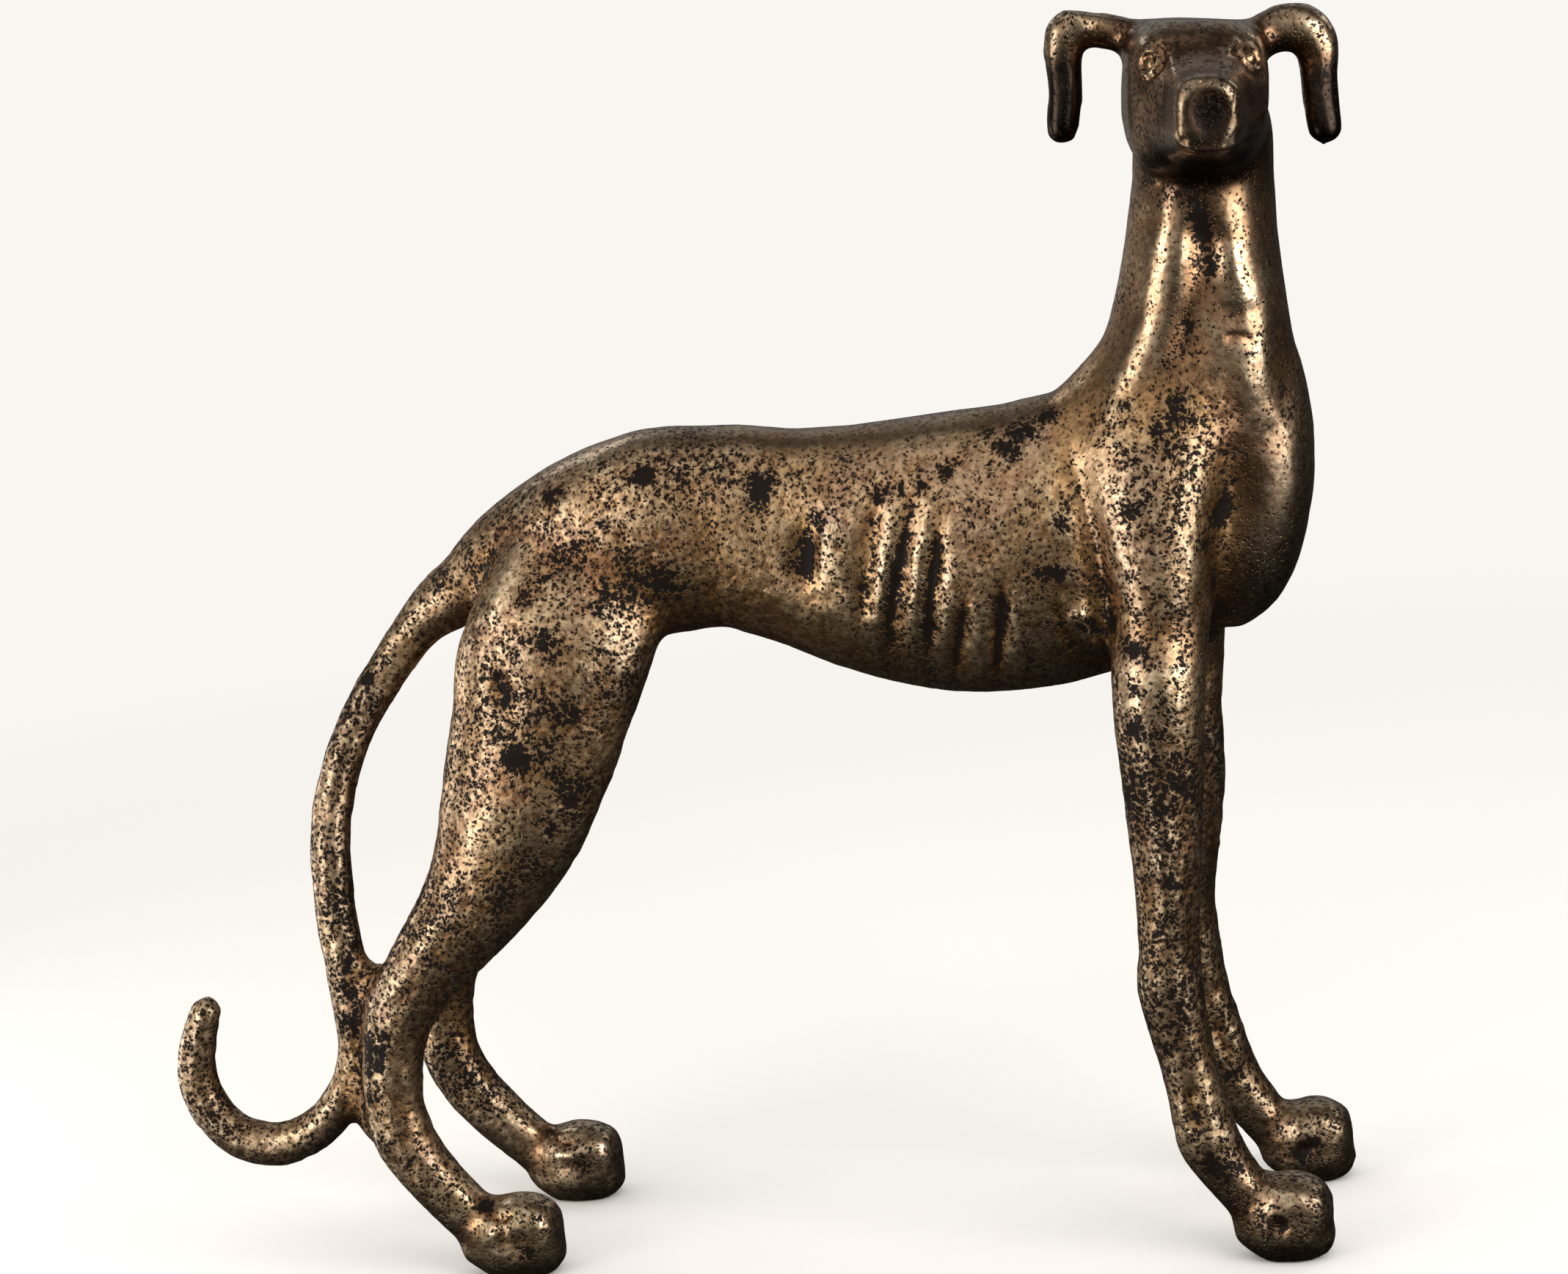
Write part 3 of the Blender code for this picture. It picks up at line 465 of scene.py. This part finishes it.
def linked(name, mesh):
    """A new object in the scene with a mesh."""
    obj = bpy.data.objects.new(name, mesh)
    bpy.context.scene.collection.objects.link(obj)
    return obj


def remeshed(mesh, voxel):
    """A mesh as an even skin of small quads."""
    obj = linked("skin", mesh)
    modifier = obj.modifiers.new("Skin", "REMESH")
    modifier.mode = "VOXEL"
    modifier.voxel_size = voxel * MM
    skin = evaluated(obj)
    bpy.data.objects.remove(obj)
    return skin


def subdivided(mesh):
    """A mesh with each quad made four, on the smooth surface that its corners steer."""
    obj = linked("finer", mesh)
    modifier = obj.modifiers.new("Finer", "SUBSURF")
    modifier.levels = modifier.render_levels = 1
    made = evaluated(obj)
    bpy.data.objects.remove(obj)
    return made


def finer_face(mesh):
    """Quarters the quads of the face, whose carving is the finest."""
    shape = bmesh.new()
    shape.from_mesh(mesh)
    centre = Vector(((HEAD_CENTRE - ORIGIN) * MM).tolist())
    axes = [Vector(axis.tolist()) for axis in (FACE_LEFT, FACE_FORWARD, FACE_UP)]
    bounds = ((-17, 17), (14, 60), (-13, 15))
    edges = []
    for edge in shape.edges:
        place = (edge.verts[0].co - centre) / MM
        if all(low < place.dot(axis) < high for axis, (low, high) in zip(axes, bounds)):
            edges.append(edge)
    bmesh.ops.subdivide_edges(shape, edges=edges, cuts=1, use_grid_fill=True)
    shape.to_mesh(mesh)
    shape.free()
    return mesh


def thinned(mesh, triangles):
    """A mesh with about so many triangles, fewest where it is plain."""
    mesh.calc_loop_triangles()
    obj = linked("thin", mesh)
    modifier = obj.modifiers.new("Thin", "DECIMATE")
    modifier.ratio = min(1.0, triangles / len(mesh.loop_triangles))
    modifier.use_collapse_triangulate = True
    made = evaluated(obj)
    bpy.data.objects.remove(obj)
    return made


def carve(clay):
    """Cuts the carving crisp where thinning the solid left it soft."""
    for line, width, depth, _ in RIBS:
        clay.side_stroke(line, width, depth)
    for line, width, depth in RIDGES + FURROWS:
        clay.side_stroke(line, width, depth)
    carve_neck(clay)
    carve_head(clay)
    carve_feet(clay)


def carve_neck(clay):
    """Two sinews down the throat, with a groove between them."""
    for line, width, depth in NECK_STROKES:
        clay.side_stroke(line, width, depth)


def carve_head(clay):
    """A flat crown, eye rings, brows, the bridge, the nose pad's rim, nostrils and mouth."""
    flatten_crown(clay)
    for left, up in EYES:
        carve_eye(clay, from_head(left, EYE_FORWARD, up))
    for line, width, depth in FACE_STROKES:
        clay.face_stroke(line, width, depth)
    for place, radius, height in HEAD_DABS:
        clay.dab(from_head(*place), radius, height)
    reach = np.linalg.norm(clay.points - from_head(*PAD_CENTRE), axis=1)
    clay.raised(-0.9 * np.exp(-((reach / 4.6) ** 4)))
    clay.face_stroke(PAD_RIM, 0.8, -0.5)
    for place, radius, height in NOSE_DABS:
        clay.dab(from_head(*place), radius, height)
    clay.face_stroke(MOUTH, 1.1, 0.8)


def flatten_crown(clay):
    """Takes the roundness off the top of the skull and of the right ear's bar."""
    rise = (clay.points - from_head(*CROWN)) @ (FACE_UP - 0.06 * FACE_FORWARD)
    left = (clay.points - HEAD_CENTRE) @ FACE_LEFT
    middle = step(left, -17, -12) * step(-left, -14, -9)
    clay.points -= np.outer(np.clip(rise, 0, None) * middle * 0.75, FACE_UP)
    ear = step(-left, 19, 24)
    lift = (clay.points - from_head(*EAR_TOP)) @ (FACE_UP + 0.13 * FACE_LEFT)
    clay.points -= np.outer(np.clip(lift, 0, None) * ear * 0.7, FACE_UP)


def carve_eye(clay, eye):
    """A socket, a ring around it and a boss in its middle."""
    clay.dab(eye, 3.4, -0.8)
    reach = np.linalg.norm(clay.points - eye, axis=1)
    clay.raised(1.0 * np.exp(-(((reach - 2.9) / 0.75) ** 2)))
    clay.dab(eye, 1.5, 1.5)


def carve_feet(clay):
    """The knuckles, creases and hollows of the paws, the wrist and the hock."""
    for side, line, width, depth in FEET_STROKES:
        clay.side_stroke(line, width, depth, (side,))
    for centre, radius, height in FEET_DABS:
        clay.dab(centre, radius, height)


def regions(p, normals):
    """How much of each part of the dog a point belongs to.

    The prow is the front of the chest, and the top is the back's upper face.
    """
    head = step(p[:, 2], *HEAD_ABOVE)
    neck = step(p[:, 2], *NECK_ABOVE) * step(p[:, 0], *NECK_BEYOND) * (1 - head)
    prow = step(p[:, 0], *PROW_BEYOND) * step(p[:, 2], *PROW_ABOVE) * (1 - head) * (1 - neck)
    legs = 1 - step(p[:, 2], *LEGS_BELOW)
    haunch = step(-p[:, 0], *HAUNCH_BEHIND) * (1 - legs)
    top = step(normals[:, 2], *TOP_FACING) * step(p[:, 2], *TOP_ABOVE) * (1 - head)
    return head, neck, prow, legs, haunch, top


def coarseness(p, normals):
    """How rough the casting is, from 0 to 1."""
    head, neck, prow, legs, haunch, top = regions(p, normals)
    rough = 0.75 + 0.25 * np.maximum(legs, haunch)
    rough = rough * (1 - 0.6 * head) * (1 - 0.6 * neck) * (1 - 0.55 * prow) * (1 - 0.65 * top)
    rough = rough * (0.55 + 0.45 * step(p[:, 2], *PAWS_BELOW))
    return np.clip(rough * (0.85 + 0.3 * grain(p, 18, 41)), 0, 1)


def cast_grain(clay):
    """The unevenness of a sand casting: broad dents, small lumps and pits."""
    p = clay.points
    rough = coarseness(p, clay.normals())
    heights = 0.14 * grain(p, 11, 3) + rough * (0.13 * grain(p, 5, 4) + 0.12 * grain(p, 2.6, 5))
    heights -= 0.24 * rough * pits(p, 2.4, 0.5, 11)
    clay.raised(heights)


def density(p, normals, bend):
    """How thickly black pits lie, from 0 to 1."""
    head, neck, prow, legs, haunch, top = regions(p, normals)
    paws = 1 - step(p[:, 2], *PAWS_BELOW)
    fore = step(p[:, 0], *FORELEGS_BEYOND)
    value = 0.16 + 0.16 * haunch + (0.23 + 0.08 * fore) * legs - 0.2 * paws
    value = value * (1 - 0.5 * head) * (1 - 0.6 * neck) * (1 - 0.45 * prow) * (1 - 0.5 * top)
    value += 0.25 * grain(p, 16, 51) * (1 - 0.5 * neck)
    torn = p + 1.3 * np.stack([grain(p, 3.2, 81 + k) for k in range(3)], axis=1)
    for x, y, z, wide, dense in PATCHES:
        for centre in ((x, y, z), (x + FAR_SHIFT[0], -y, z + FAR_SHIFT[1])):
            near = np.flatnonzero(np.all(np.abs(torn - centre) < 2 * wide, axis=1))
            reach = np.linalg.norm(torn[near] - centre, axis=1) / (1.25 * wide)
            value[near] = np.maximum(value[near], dense * np.exp(-(reach**2.6)))
    value += 0.4 * np.clip(-bend / 0.5, 0, 1)
    return value


def proud(clay, normals):
    """How far each point stands out from the skin around it, below 0 in a hollow."""
    smooth = clay.points.copy()
    for _ in range(14):
        smooth = clay.averaged(smooth)
    return np.einsum("ij,ij->i", clay.points - smooth, normals)


def darkness(p, normals, tail):
    """How thickly the dark brown lies over the metal, from 0 to 1: patina, and painted shade."""
    head, neck, prow, legs, _, top = regions(p, normals)
    in_head = p - HEAD_CENTRE
    left, up = in_head @ FACE_LEFT, in_head @ FACE_UP
    drop = step(np.abs(left), 22, 26) * step(-up, -11, -4) * head
    bar = step(np.abs(left), 19, 23) * (1 - drop) * head
    # Patina darkens the head; the back's upper face gets painted shade; the ears' drops, the prow, the neck
    # and the tail are darker, and the ears' bars lighter.
    patina_and_painted_light = 0.52 * head - 0.36 * bar + 0.46 * drop + 0.3 * top + 0.34 * prow + 0.05 * neck
    patina_and_painted_light += 0.14 * tail
    # The legs are darker, the forelegs more, and the foot of each paw gets painted shade near the floor.
    patina_and_painted_light += 0.16 * legs * (p[:, 0] > 0) + 0.08 * legs + 0.3 * (1 - step(p[:, 2], 2, 13))
    # Spots on the face: painted shade under the jaw, patina on the nose pad, and painted highlights and
    # glints on the eyes, brows, bridge, ear roots and jaw.
    for place, radius, amount in FACE_TONES:
        reach = np.linalg.norm(p - from_head(*place), axis=1)
        patina_and_painted_light += amount * np.exp(-((reach / radius) ** 4))
    return np.clip(patina_and_painted_light, 0, 1)


def attributes(clay):
    """Painted on the skin for the material: patina, wear, and painted highlights and shade."""
    p, normals = clay.points, clay.normals()
    bend = proud(clay, normals)
    pitted = density(p, normals, bend)
    for line, width, _, dark in RIBS:
        for side in (NEAR, FAR):
            nearest, taper, faces_us = clay.along(line, (1, 0, 0), (0, 0, 1), (0, side, 0))
            pitted += dark * taper * faces_us * np.exp(-((nearest / width) ** 2))
    shine = np.clip(bend / 0.45, 0, 1)
    # Painted highlights along the near side's strokes, with fewer pits under them.
    for line, width, amount in PAINTED_HIGHLIGHTS:
        nearest, taper, faces_us = clay.along(line, (1, 0, 0), (0, 0, 1), (0, NEAR, 0), -0.3)
        painted_highlight = amount * taper * faces_us * np.exp(-((nearest / width) ** 2))
        shine = np.maximum(shine, painted_highlight)
        pitted -= 0.3 * painted_highlight
    tail = step(-p[:, 0], *TAIL_BEHIND) * step(p[:, 2], *TAIL_ABOVE)
    pitted += 0.1 * tail
    head, neck, prow, _, haunch, _ = regions(p, normals)
    return {
        "pitted": np.clip(pitted, 0, 1),
        "wear_and_painted_highlight": shine,
        "patina_and_painted_light": darkness(p, normals, tail),
        "coarse": coarseness(p, normals),
        "warm": np.clip(0.9 * np.maximum(np.maximum(neck, prow), head) + 0.3 * haunch, 0, 1),
    }


def set_attributes(mesh, values):
    """Stores a value at each point of a mesh under each name."""
    for name, value in values.items():
        layer = mesh.attributes.new(name, "FLOAT", "POINT")
        layer.data.foreach_set("value", value.astype(np.float32))


class Nodes:
    """Short ways to build a material's nodes."""

    def __init__(self, owner):
        owner.use_nodes = True
        self.tree = owner.node_tree
        self.shader = next(n for n in self.tree.nodes if n.type in ("BSDF_PRINCIPLED", "BACKGROUND"))

    def add(self, kind, inputs=(), **settings):
        """A new node with its settings, and its inputs linked or set."""
        node = self.tree.nodes.new(kind)
        for name, value in settings.items():
            setattr(node, name, value)
        for key, value in dict(inputs).items():
            self.put(value, node.inputs[key])
        return node

    def put(self, value, socket):
        """Links a node's output to a socket, or sets the socket to a plain value."""
        if isinstance(value, bpy.types.NodeSocket):
            self.tree.links.new(value, socket)
        else:
            socket.default_value = value

    def math(self, operation, a, b=0.0, c=0.0):
        """A sum or other operation on up to three values."""
        return self.add("ShaderNodeMath", {0: a, 1: b, 2: c}, operation=operation).outputs[0]

    def noise(self, at, scale, detail=2.0, roughness=0.5):
        """Smooth noise from about 0 to 1, finer where the scale is larger."""
        inputs = {"Vector": at, "Scale": scale, "Detail": detail, "Roughness": roughness}
        return self.add("ShaderNodeTexNoise", inputs).outputs["Fac"]

    def ramp(self, value, low, high, out_low=0.0, out_high=1.0):
        """A smooth step of a value between low and high."""
        node = self.add(
            "ShaderNodeMapRange",
            {"Value": value, "From Min": low, "From Max": high, "To Min": out_low, "To Max": out_high},
            interpolation_type="SMOOTHSTEP",
        )
        return node.outputs["Result"]

    def mix(self, share, a, b):
        """A colour from the first where the share is 0 to the second where it is 1."""
        node = self.add("ShaderNodeMix", {0: share, 6: a, 7: b}, data_type="RGBA")
        return node.outputs[2]

    def attribute(self, name):
        """What the mesh carries at each point under a name."""
        return self.add("ShaderNodeAttribute", attribute_name=name).outputs["Fac"]


# The bronze's colours. Its highs and lows each run from a golden to a redder one. Then come the worn
# metal and painted highlights, the stain around the pits, the brown patina and painted shade, and the black
# in the pits.
GOLDEN_HIGH, RED_HIGH = (0.62, 0.35, 0.12, 1), (0.53, 0.26, 0.10, 1)
GOLDEN_LOW, RED_LOW = (0.31, 0.16, 0.055, 1), (0.23, 0.102, 0.042, 1)
WORN_AND_HIGHLIGHT_METAL = (0.86, 0.69, 0.45, 1)
STAIN = (0.06, 0.029, 0.011, 1)
PATINA_AND_PAINTED_SHADE = (0.024, 0.017, 0.014, 1)
PIT_BLACK = (0.007, 0.0036, 0.0018, 1)


def pit_depth(n, at, pitted, crumb):
    """How far inside a torn pit each place is, below 0 outside of it."""
    swirl = n.add("ShaderNodeTexNoise", {"Vector": at, "Scale": 0.9, "Detail": 2.0}).outputs["Color"]
    bent = n.add("ShaderNodeVectorMath", {0: swirl, 1: (2.0, 2.0, 2.0), 2: at}, operation="MULTIPLY_ADD")
    cells = n.add("ShaderNodeTexVoronoi", {"Vector": bent.outputs["Vector"], "Scale": 0.85})
    torn = n.math("MULTIPLY", n.math("SUBTRACT", crumb, 0.5), 0.9)
    hole = n.math("SUBTRACT", cells.outputs["Distance"], torn)
    patch = n.math("MULTIPLY", n.math("SUBTRACT", n.noise(at, 0.16, 2.0), 0.5), 0.6)
    clump = n.math("MULTIPLY", n.math("SUBTRACT", n.noise(at, 0.45, 2.0), 0.5), 0.7)
    thick = n.math("ADD", n.math("ADD", pitted, patch), clump)
    reach = n.math("MULTIPLY_ADD", thick, 0.64, 0.14)
    reach = n.math("MULTIPLY_ADD", n.math("POWER", n.math("MAXIMUM", thick, 0.0), 4.0), 0.4, reach)
    return n.math("SUBTRACT", reach, hole)


def bronze():
    """Golden bronze worn bright over a near-black patina that fills the pits, with painted highlights and
    painted shade.
    """
    material = bpy.data.materials.new("aged_bronze")
    n = Nodes(material)
    place = n.add("ShaderNodeTexCoord").outputs["Object"]
    at = n.add("ShaderNodeVectorMath", {0: place, "Scale": 1000.0}, operation="SCALE").outputs["Vector"]
    names = ("pitted", "wear_and_painted_highlight", "patina_and_painted_light", "coarse", "warm")
    pitted, wear_and_painted_highlight, patina_and_painted_light, coarse, warm = (n.attribute(name) for name in names)

    crumb = n.noise(at, 1.7, 1.0, 0.5)
    deep = pit_depth(n, at, pitted, crumb)
    black = n.ramp(deep, -0.045, 0.045)

    relief = n.math("MULTIPLY_ADD", n.noise(at, 0.6, 1.0, 0.4), 0.75, n.math("MULTIPLY", crumb, 0.25))
    lift = n.ramp(relief, 0.36, 0.62)
    hue = n.math("MAXIMUM", n.ramp(n.noise(at, 0.055, 2.0, 0.5), 0.38, 0.62), warm)
    high = n.mix(hue, GOLDEN_HIGH, RED_HIGH)
    low = n.mix(hue, GOLDEN_LOW, RED_LOW)
    share = n.math("ADD", n.math("MULTIPLY", lift, coarse), n.ramp(coarse, 0, 1, 0.5, 0.05))
    metal = n.mix(share, low, high)
    # Worn high points and the painted highlights turn the metal pale cream.
    shine = n.math("MULTIPLY", wear_and_painted_highlight, n.math("MULTIPLY_ADD", lift, 0.6, 0.25))
    metal = n.mix(shine, metal, WORN_AND_HIGHLIGHT_METAL)
    stain = n.math("MULTIPLY", n.ramp(deep, -0.45, 0.0), 0.7)
    metal = n.mix(stain, metal, STAIN)
    # The dark brown over the metal: patina, and painted shade on the back's upper face, under the jaw and at
    # the foot of the paws.
    metal = n.mix(patina_and_painted_light, metal, PATINA_AND_PAINTED_SHADE)
    n.put(n.mix(black, metal, PIT_BLACK), n.shader.inputs["Base Color"])
    n.put(n.ramp(black, 0.0, 1.0, 1.0, 0.2), n.shader.inputs["Metallic"])
    rough = n.math("ADD", n.ramp(coarse, 0.2, 0.9, 0.27, 0.44), n.math("MULTIPLY", black, 0.2))
    n.put(rough, n.shader.inputs["Roughness"])

    n.put(0.16, n.shader.inputs["Specular IOR Level"])
    bare = n.math("MULTIPLY", n.math("SUBTRACT", 1.0, black), n.math("SUBTRACT", 1.0, patina_and_painted_light))
    bare = n.math("MULTIPLY", bare, n.math("SUBTRACT", 1.0, stain))
    n.put(n.math("MULTIPLY_ADD", bare, 0.54, 0.01), n.shader.inputs["Coat Weight"])
    n.put(0.3, n.shader.inputs["Coat Roughness"])
    n.put(2.0, n.shader.inputs["Coat IOR"])
    height = n.math("MULTIPLY", relief, coarse)
    height = n.math("SUBTRACT", height, n.math("MULTIPLY", n.ramp(deep, -0.16, 0.1), 0.25))
    bump = n.add("ShaderNodeBump", {"Height": height, "Strength": 0.65, "Distance": 0.0004})
    n.put(bump.outputs["Normal"], n.shader.inputs["Normal"])
    return material


def soft_light(name, place, size, radiance, colour):
    """An area light that faces the dog from the side, as bright as its radiance says."""
    light = bpy.data.lights.new(name, "AREA")
    light.shape = "RECTANGLE"
    light.size, light.size_y = size
    light.energy = radiance * math.pi * size[0] * size[1]
    light.color = colour
    obj = bpy.data.objects.new(name, light)
    bpy.context.scene.collection.objects.link(obj)
    obj.location = place
    obj.rotation_euler = (Vector((0, 0, place[2])) - obj.location).to_track_quat("-Z", "Y").to_euler()


# The soft glow around the room that only gloss shows: where from, how wide in degrees, colour.
ROOM_GLOWS = (
    ((-0.25, -0.64, 0.74), 5, 60, (0.68, 0.655, 0.615)),
    ((0.0, 0.8, 0.6), 8, 38, (0.30, 0.30, 0.30)),
    ((-0.75, 0.6, -0.05), 8, 44, (0.26, 0.24, 0.215)),
)
# Each soft box: its name and place, its width and height in metres, its brightness and colour.
SOFT_BOXES = (
    ("left_box", (-0.60, -0.66, 0.22), (0.42, 0.75), 3.6, (1.0, 0.97, 0.92)),
    ("low_left_strip", (-0.44, 0.04, 0.04), (0.2, 0.36), 2.8, (1.0, 0.95, 0.88)),
    ("right_box", (0.70, -0.48, 0.42), (0.6, 0.7), 4.2, (1.0, 0.97, 0.93)),
    ("back_left_box", (-0.45, 0.45, 0.75), (0.35, 0.35), 1.4, (0.97, 0.98, 1.0)),
    ("back_right_box", (0.6, 0.5, 0.65), (0.3, 0.35), 1.4, (1.0, 0.97, 0.92)),
)
# The pale room, and what gloss sees of it away from the glows: across, and below the floor.
PALE = (0.947, 0.922, 0.887, 1)
DIM, BELOW = (0.04, 0.038, 0.036, 1), (0.008, 0.008, 0.008, 1)
# The floor: its colour, half its side, and where it fades into the room.
FLOOR_COLOUR = (0.85, 0.84, 0.828, 1)
FLOOR_HALF = 1.0
FLOOR_FADE = (0.3, 0.95)


def pale_floor():
    """A pale floor that fades into the room."""
    floor_material = bpy.data.materials.new("pale_floor")
    n = Nodes(floor_material)
    n.put(FLOOR_COLOUR, n.shader.inputs["Base Color"])
    n.put(0.9, n.shader.inputs["Roughness"])
    n.put(0.0, n.shader.inputs["Specular IOR Level"])
    place = n.add("ShaderNodeTexCoord").outputs["Object"]
    far = n.add("ShaderNodeVectorMath", {0: place}, operation="LENGTH").outputs["Value"]
    n.put(n.ramp(far, *FLOOR_FADE, 1.0, 0.0), n.shader.inputs["Alpha"])
    floor_mesh = bpy.data.meshes.new("floor")
    corners = [(x * FLOOR_HALF, y * FLOOR_HALF, 0) for x, y in ((-1, -1), (1, -1), (1, 1), (-1, 1))]
    floor_mesh.from_pydata(corners, [], [(0, 1, 2, 3)])
    floor_mesh.materials.append(floor_material)
    floor = linked("floor", floor_mesh)
    floor.visible_glossy = False
    floor.visible_shadow = False


def pale_room():
    """A room that is pale to the eye, and dim with soft glows to gloss."""
    world = bpy.data.worlds.new("studio")
    bpy.context.scene.world = world
    world.cycles.sampling_method = "NONE"
    n = Nodes(world)
    way = n.add("ShaderNodeTexCoord").outputs["Generated"]
    room = DIM
    for axis, inner, outer, colour in ROOM_GLOWS:
        centre = Vector(axis).normalized()
        facing = n.add("ShaderNodeVectorMath", {0: way, 1: centre}, operation="DOT_PRODUCT").outputs["Value"]
        glow = n.ramp(facing, math.cos(math.radians(outer)), math.cos(math.radians(inner)))
        tint = n.mix(glow, (0, 0, 0, 1), (*colour, 1))
        both = n.add("ShaderNodeMix", {0: 1.0, 6: room, 7: tint}, data_type="RGBA", blend_type="ADD")
        room = both.outputs[2]
    height = n.add("ShaderNodeSeparateXYZ", {0: way}).outputs["Z"]
    room = n.mix(n.ramp(height, -0.5, 0.0), BELOW, room)
    gloss = n.add("ShaderNodeLightPath").outputs["Is Glossy Ray"]
    n.put(n.mix(gloss, PALE, room), n.shader.inputs["Color"])


def studio():
    """The floor, the room around it, and soft boxes on either hand."""
    pale_floor()
    pale_room()
    for name, place, size, radiance, colour in SOFT_BOXES:
        soft_light(name, place, size, radiance, colour)


def camera():
    """The photograph's viewpoint."""
    azimuth, pitch, roll = (math.radians(a) for a in (CAMERA_AZIMUTH, CAMERA_PITCH, CAMERA_ROLL))
    forward = np.array(
        [-math.sin(azimuth) * math.cos(pitch), math.cos(azimuth) * math.cos(pitch), -math.sin(pitch)]
    )
    right = np.array([math.cos(azimuth), math.sin(azimuth), 0.0])
    up = np.cross(right, forward)
    rolled_right = right * math.cos(roll) - up * math.sin(roll)
    rolled_up = right * math.sin(roll) + up * math.cos(roll)
    data = bpy.data.cameras.new("camera")
    data.sensor_width = SENSOR
    data.lens = FOCAL_PIXELS * SENSOR / IMAGE_WIDTH
    data.clip_start = 0.01
    obj = bpy.data.objects.new("camera", data)
    bpy.context.scene.collection.objects.link(obj)
    matrix = Matrix.Identity(4)
    for row in range(3):
        matrix[row][0], matrix[row][1], matrix[row][2] = rolled_right[row], rolled_up[row], -forward[row]
        matrix[row][3] = (CAMERA_PLACE[row] - ORIGIN[row]) * MM
    obj.matrix_world = matrix
    bpy.context.scene.camera = obj


def dressed():
    """The casting: the CAD solid's skin made fine, carved, grained and painted."""
    skin = remeshed(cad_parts["greyhound"].data.copy(), VOXEL)
    clay = Clay(skin)
    clay.ease(ROUNDS_TO_LOSE_FACETS)
    clay.store()
    clay = Clay(finer_face(subdivided(clay.mesh)))
    carve(clay)
    cast_grain(clay)
    low = np.array(cad_low) / MM + ORIGIN
    high = np.array(cad_high) / MM + ORIGIN
    clay.points = np.clip(clay.points, low, high)
    clay.store()
    mesh = thinned(clay.mesh, MOST_TRIANGLES)
    clay = Clay(mesh)
    set_attributes(mesh, attributes(clay))
    clay.points = np.clip(clay.points, low, high)
    clay.store()
    mesh.materials.clear()
    mesh.materials.append(bronze())
    mesh.shade_smooth()
    piece = linked("greyhound_casting", mesh)
    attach(piece, "root")
    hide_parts("greyhound")


dressed()
studio()
camera()
bpy.context.scene.view_settings.view_transform = "Standard"
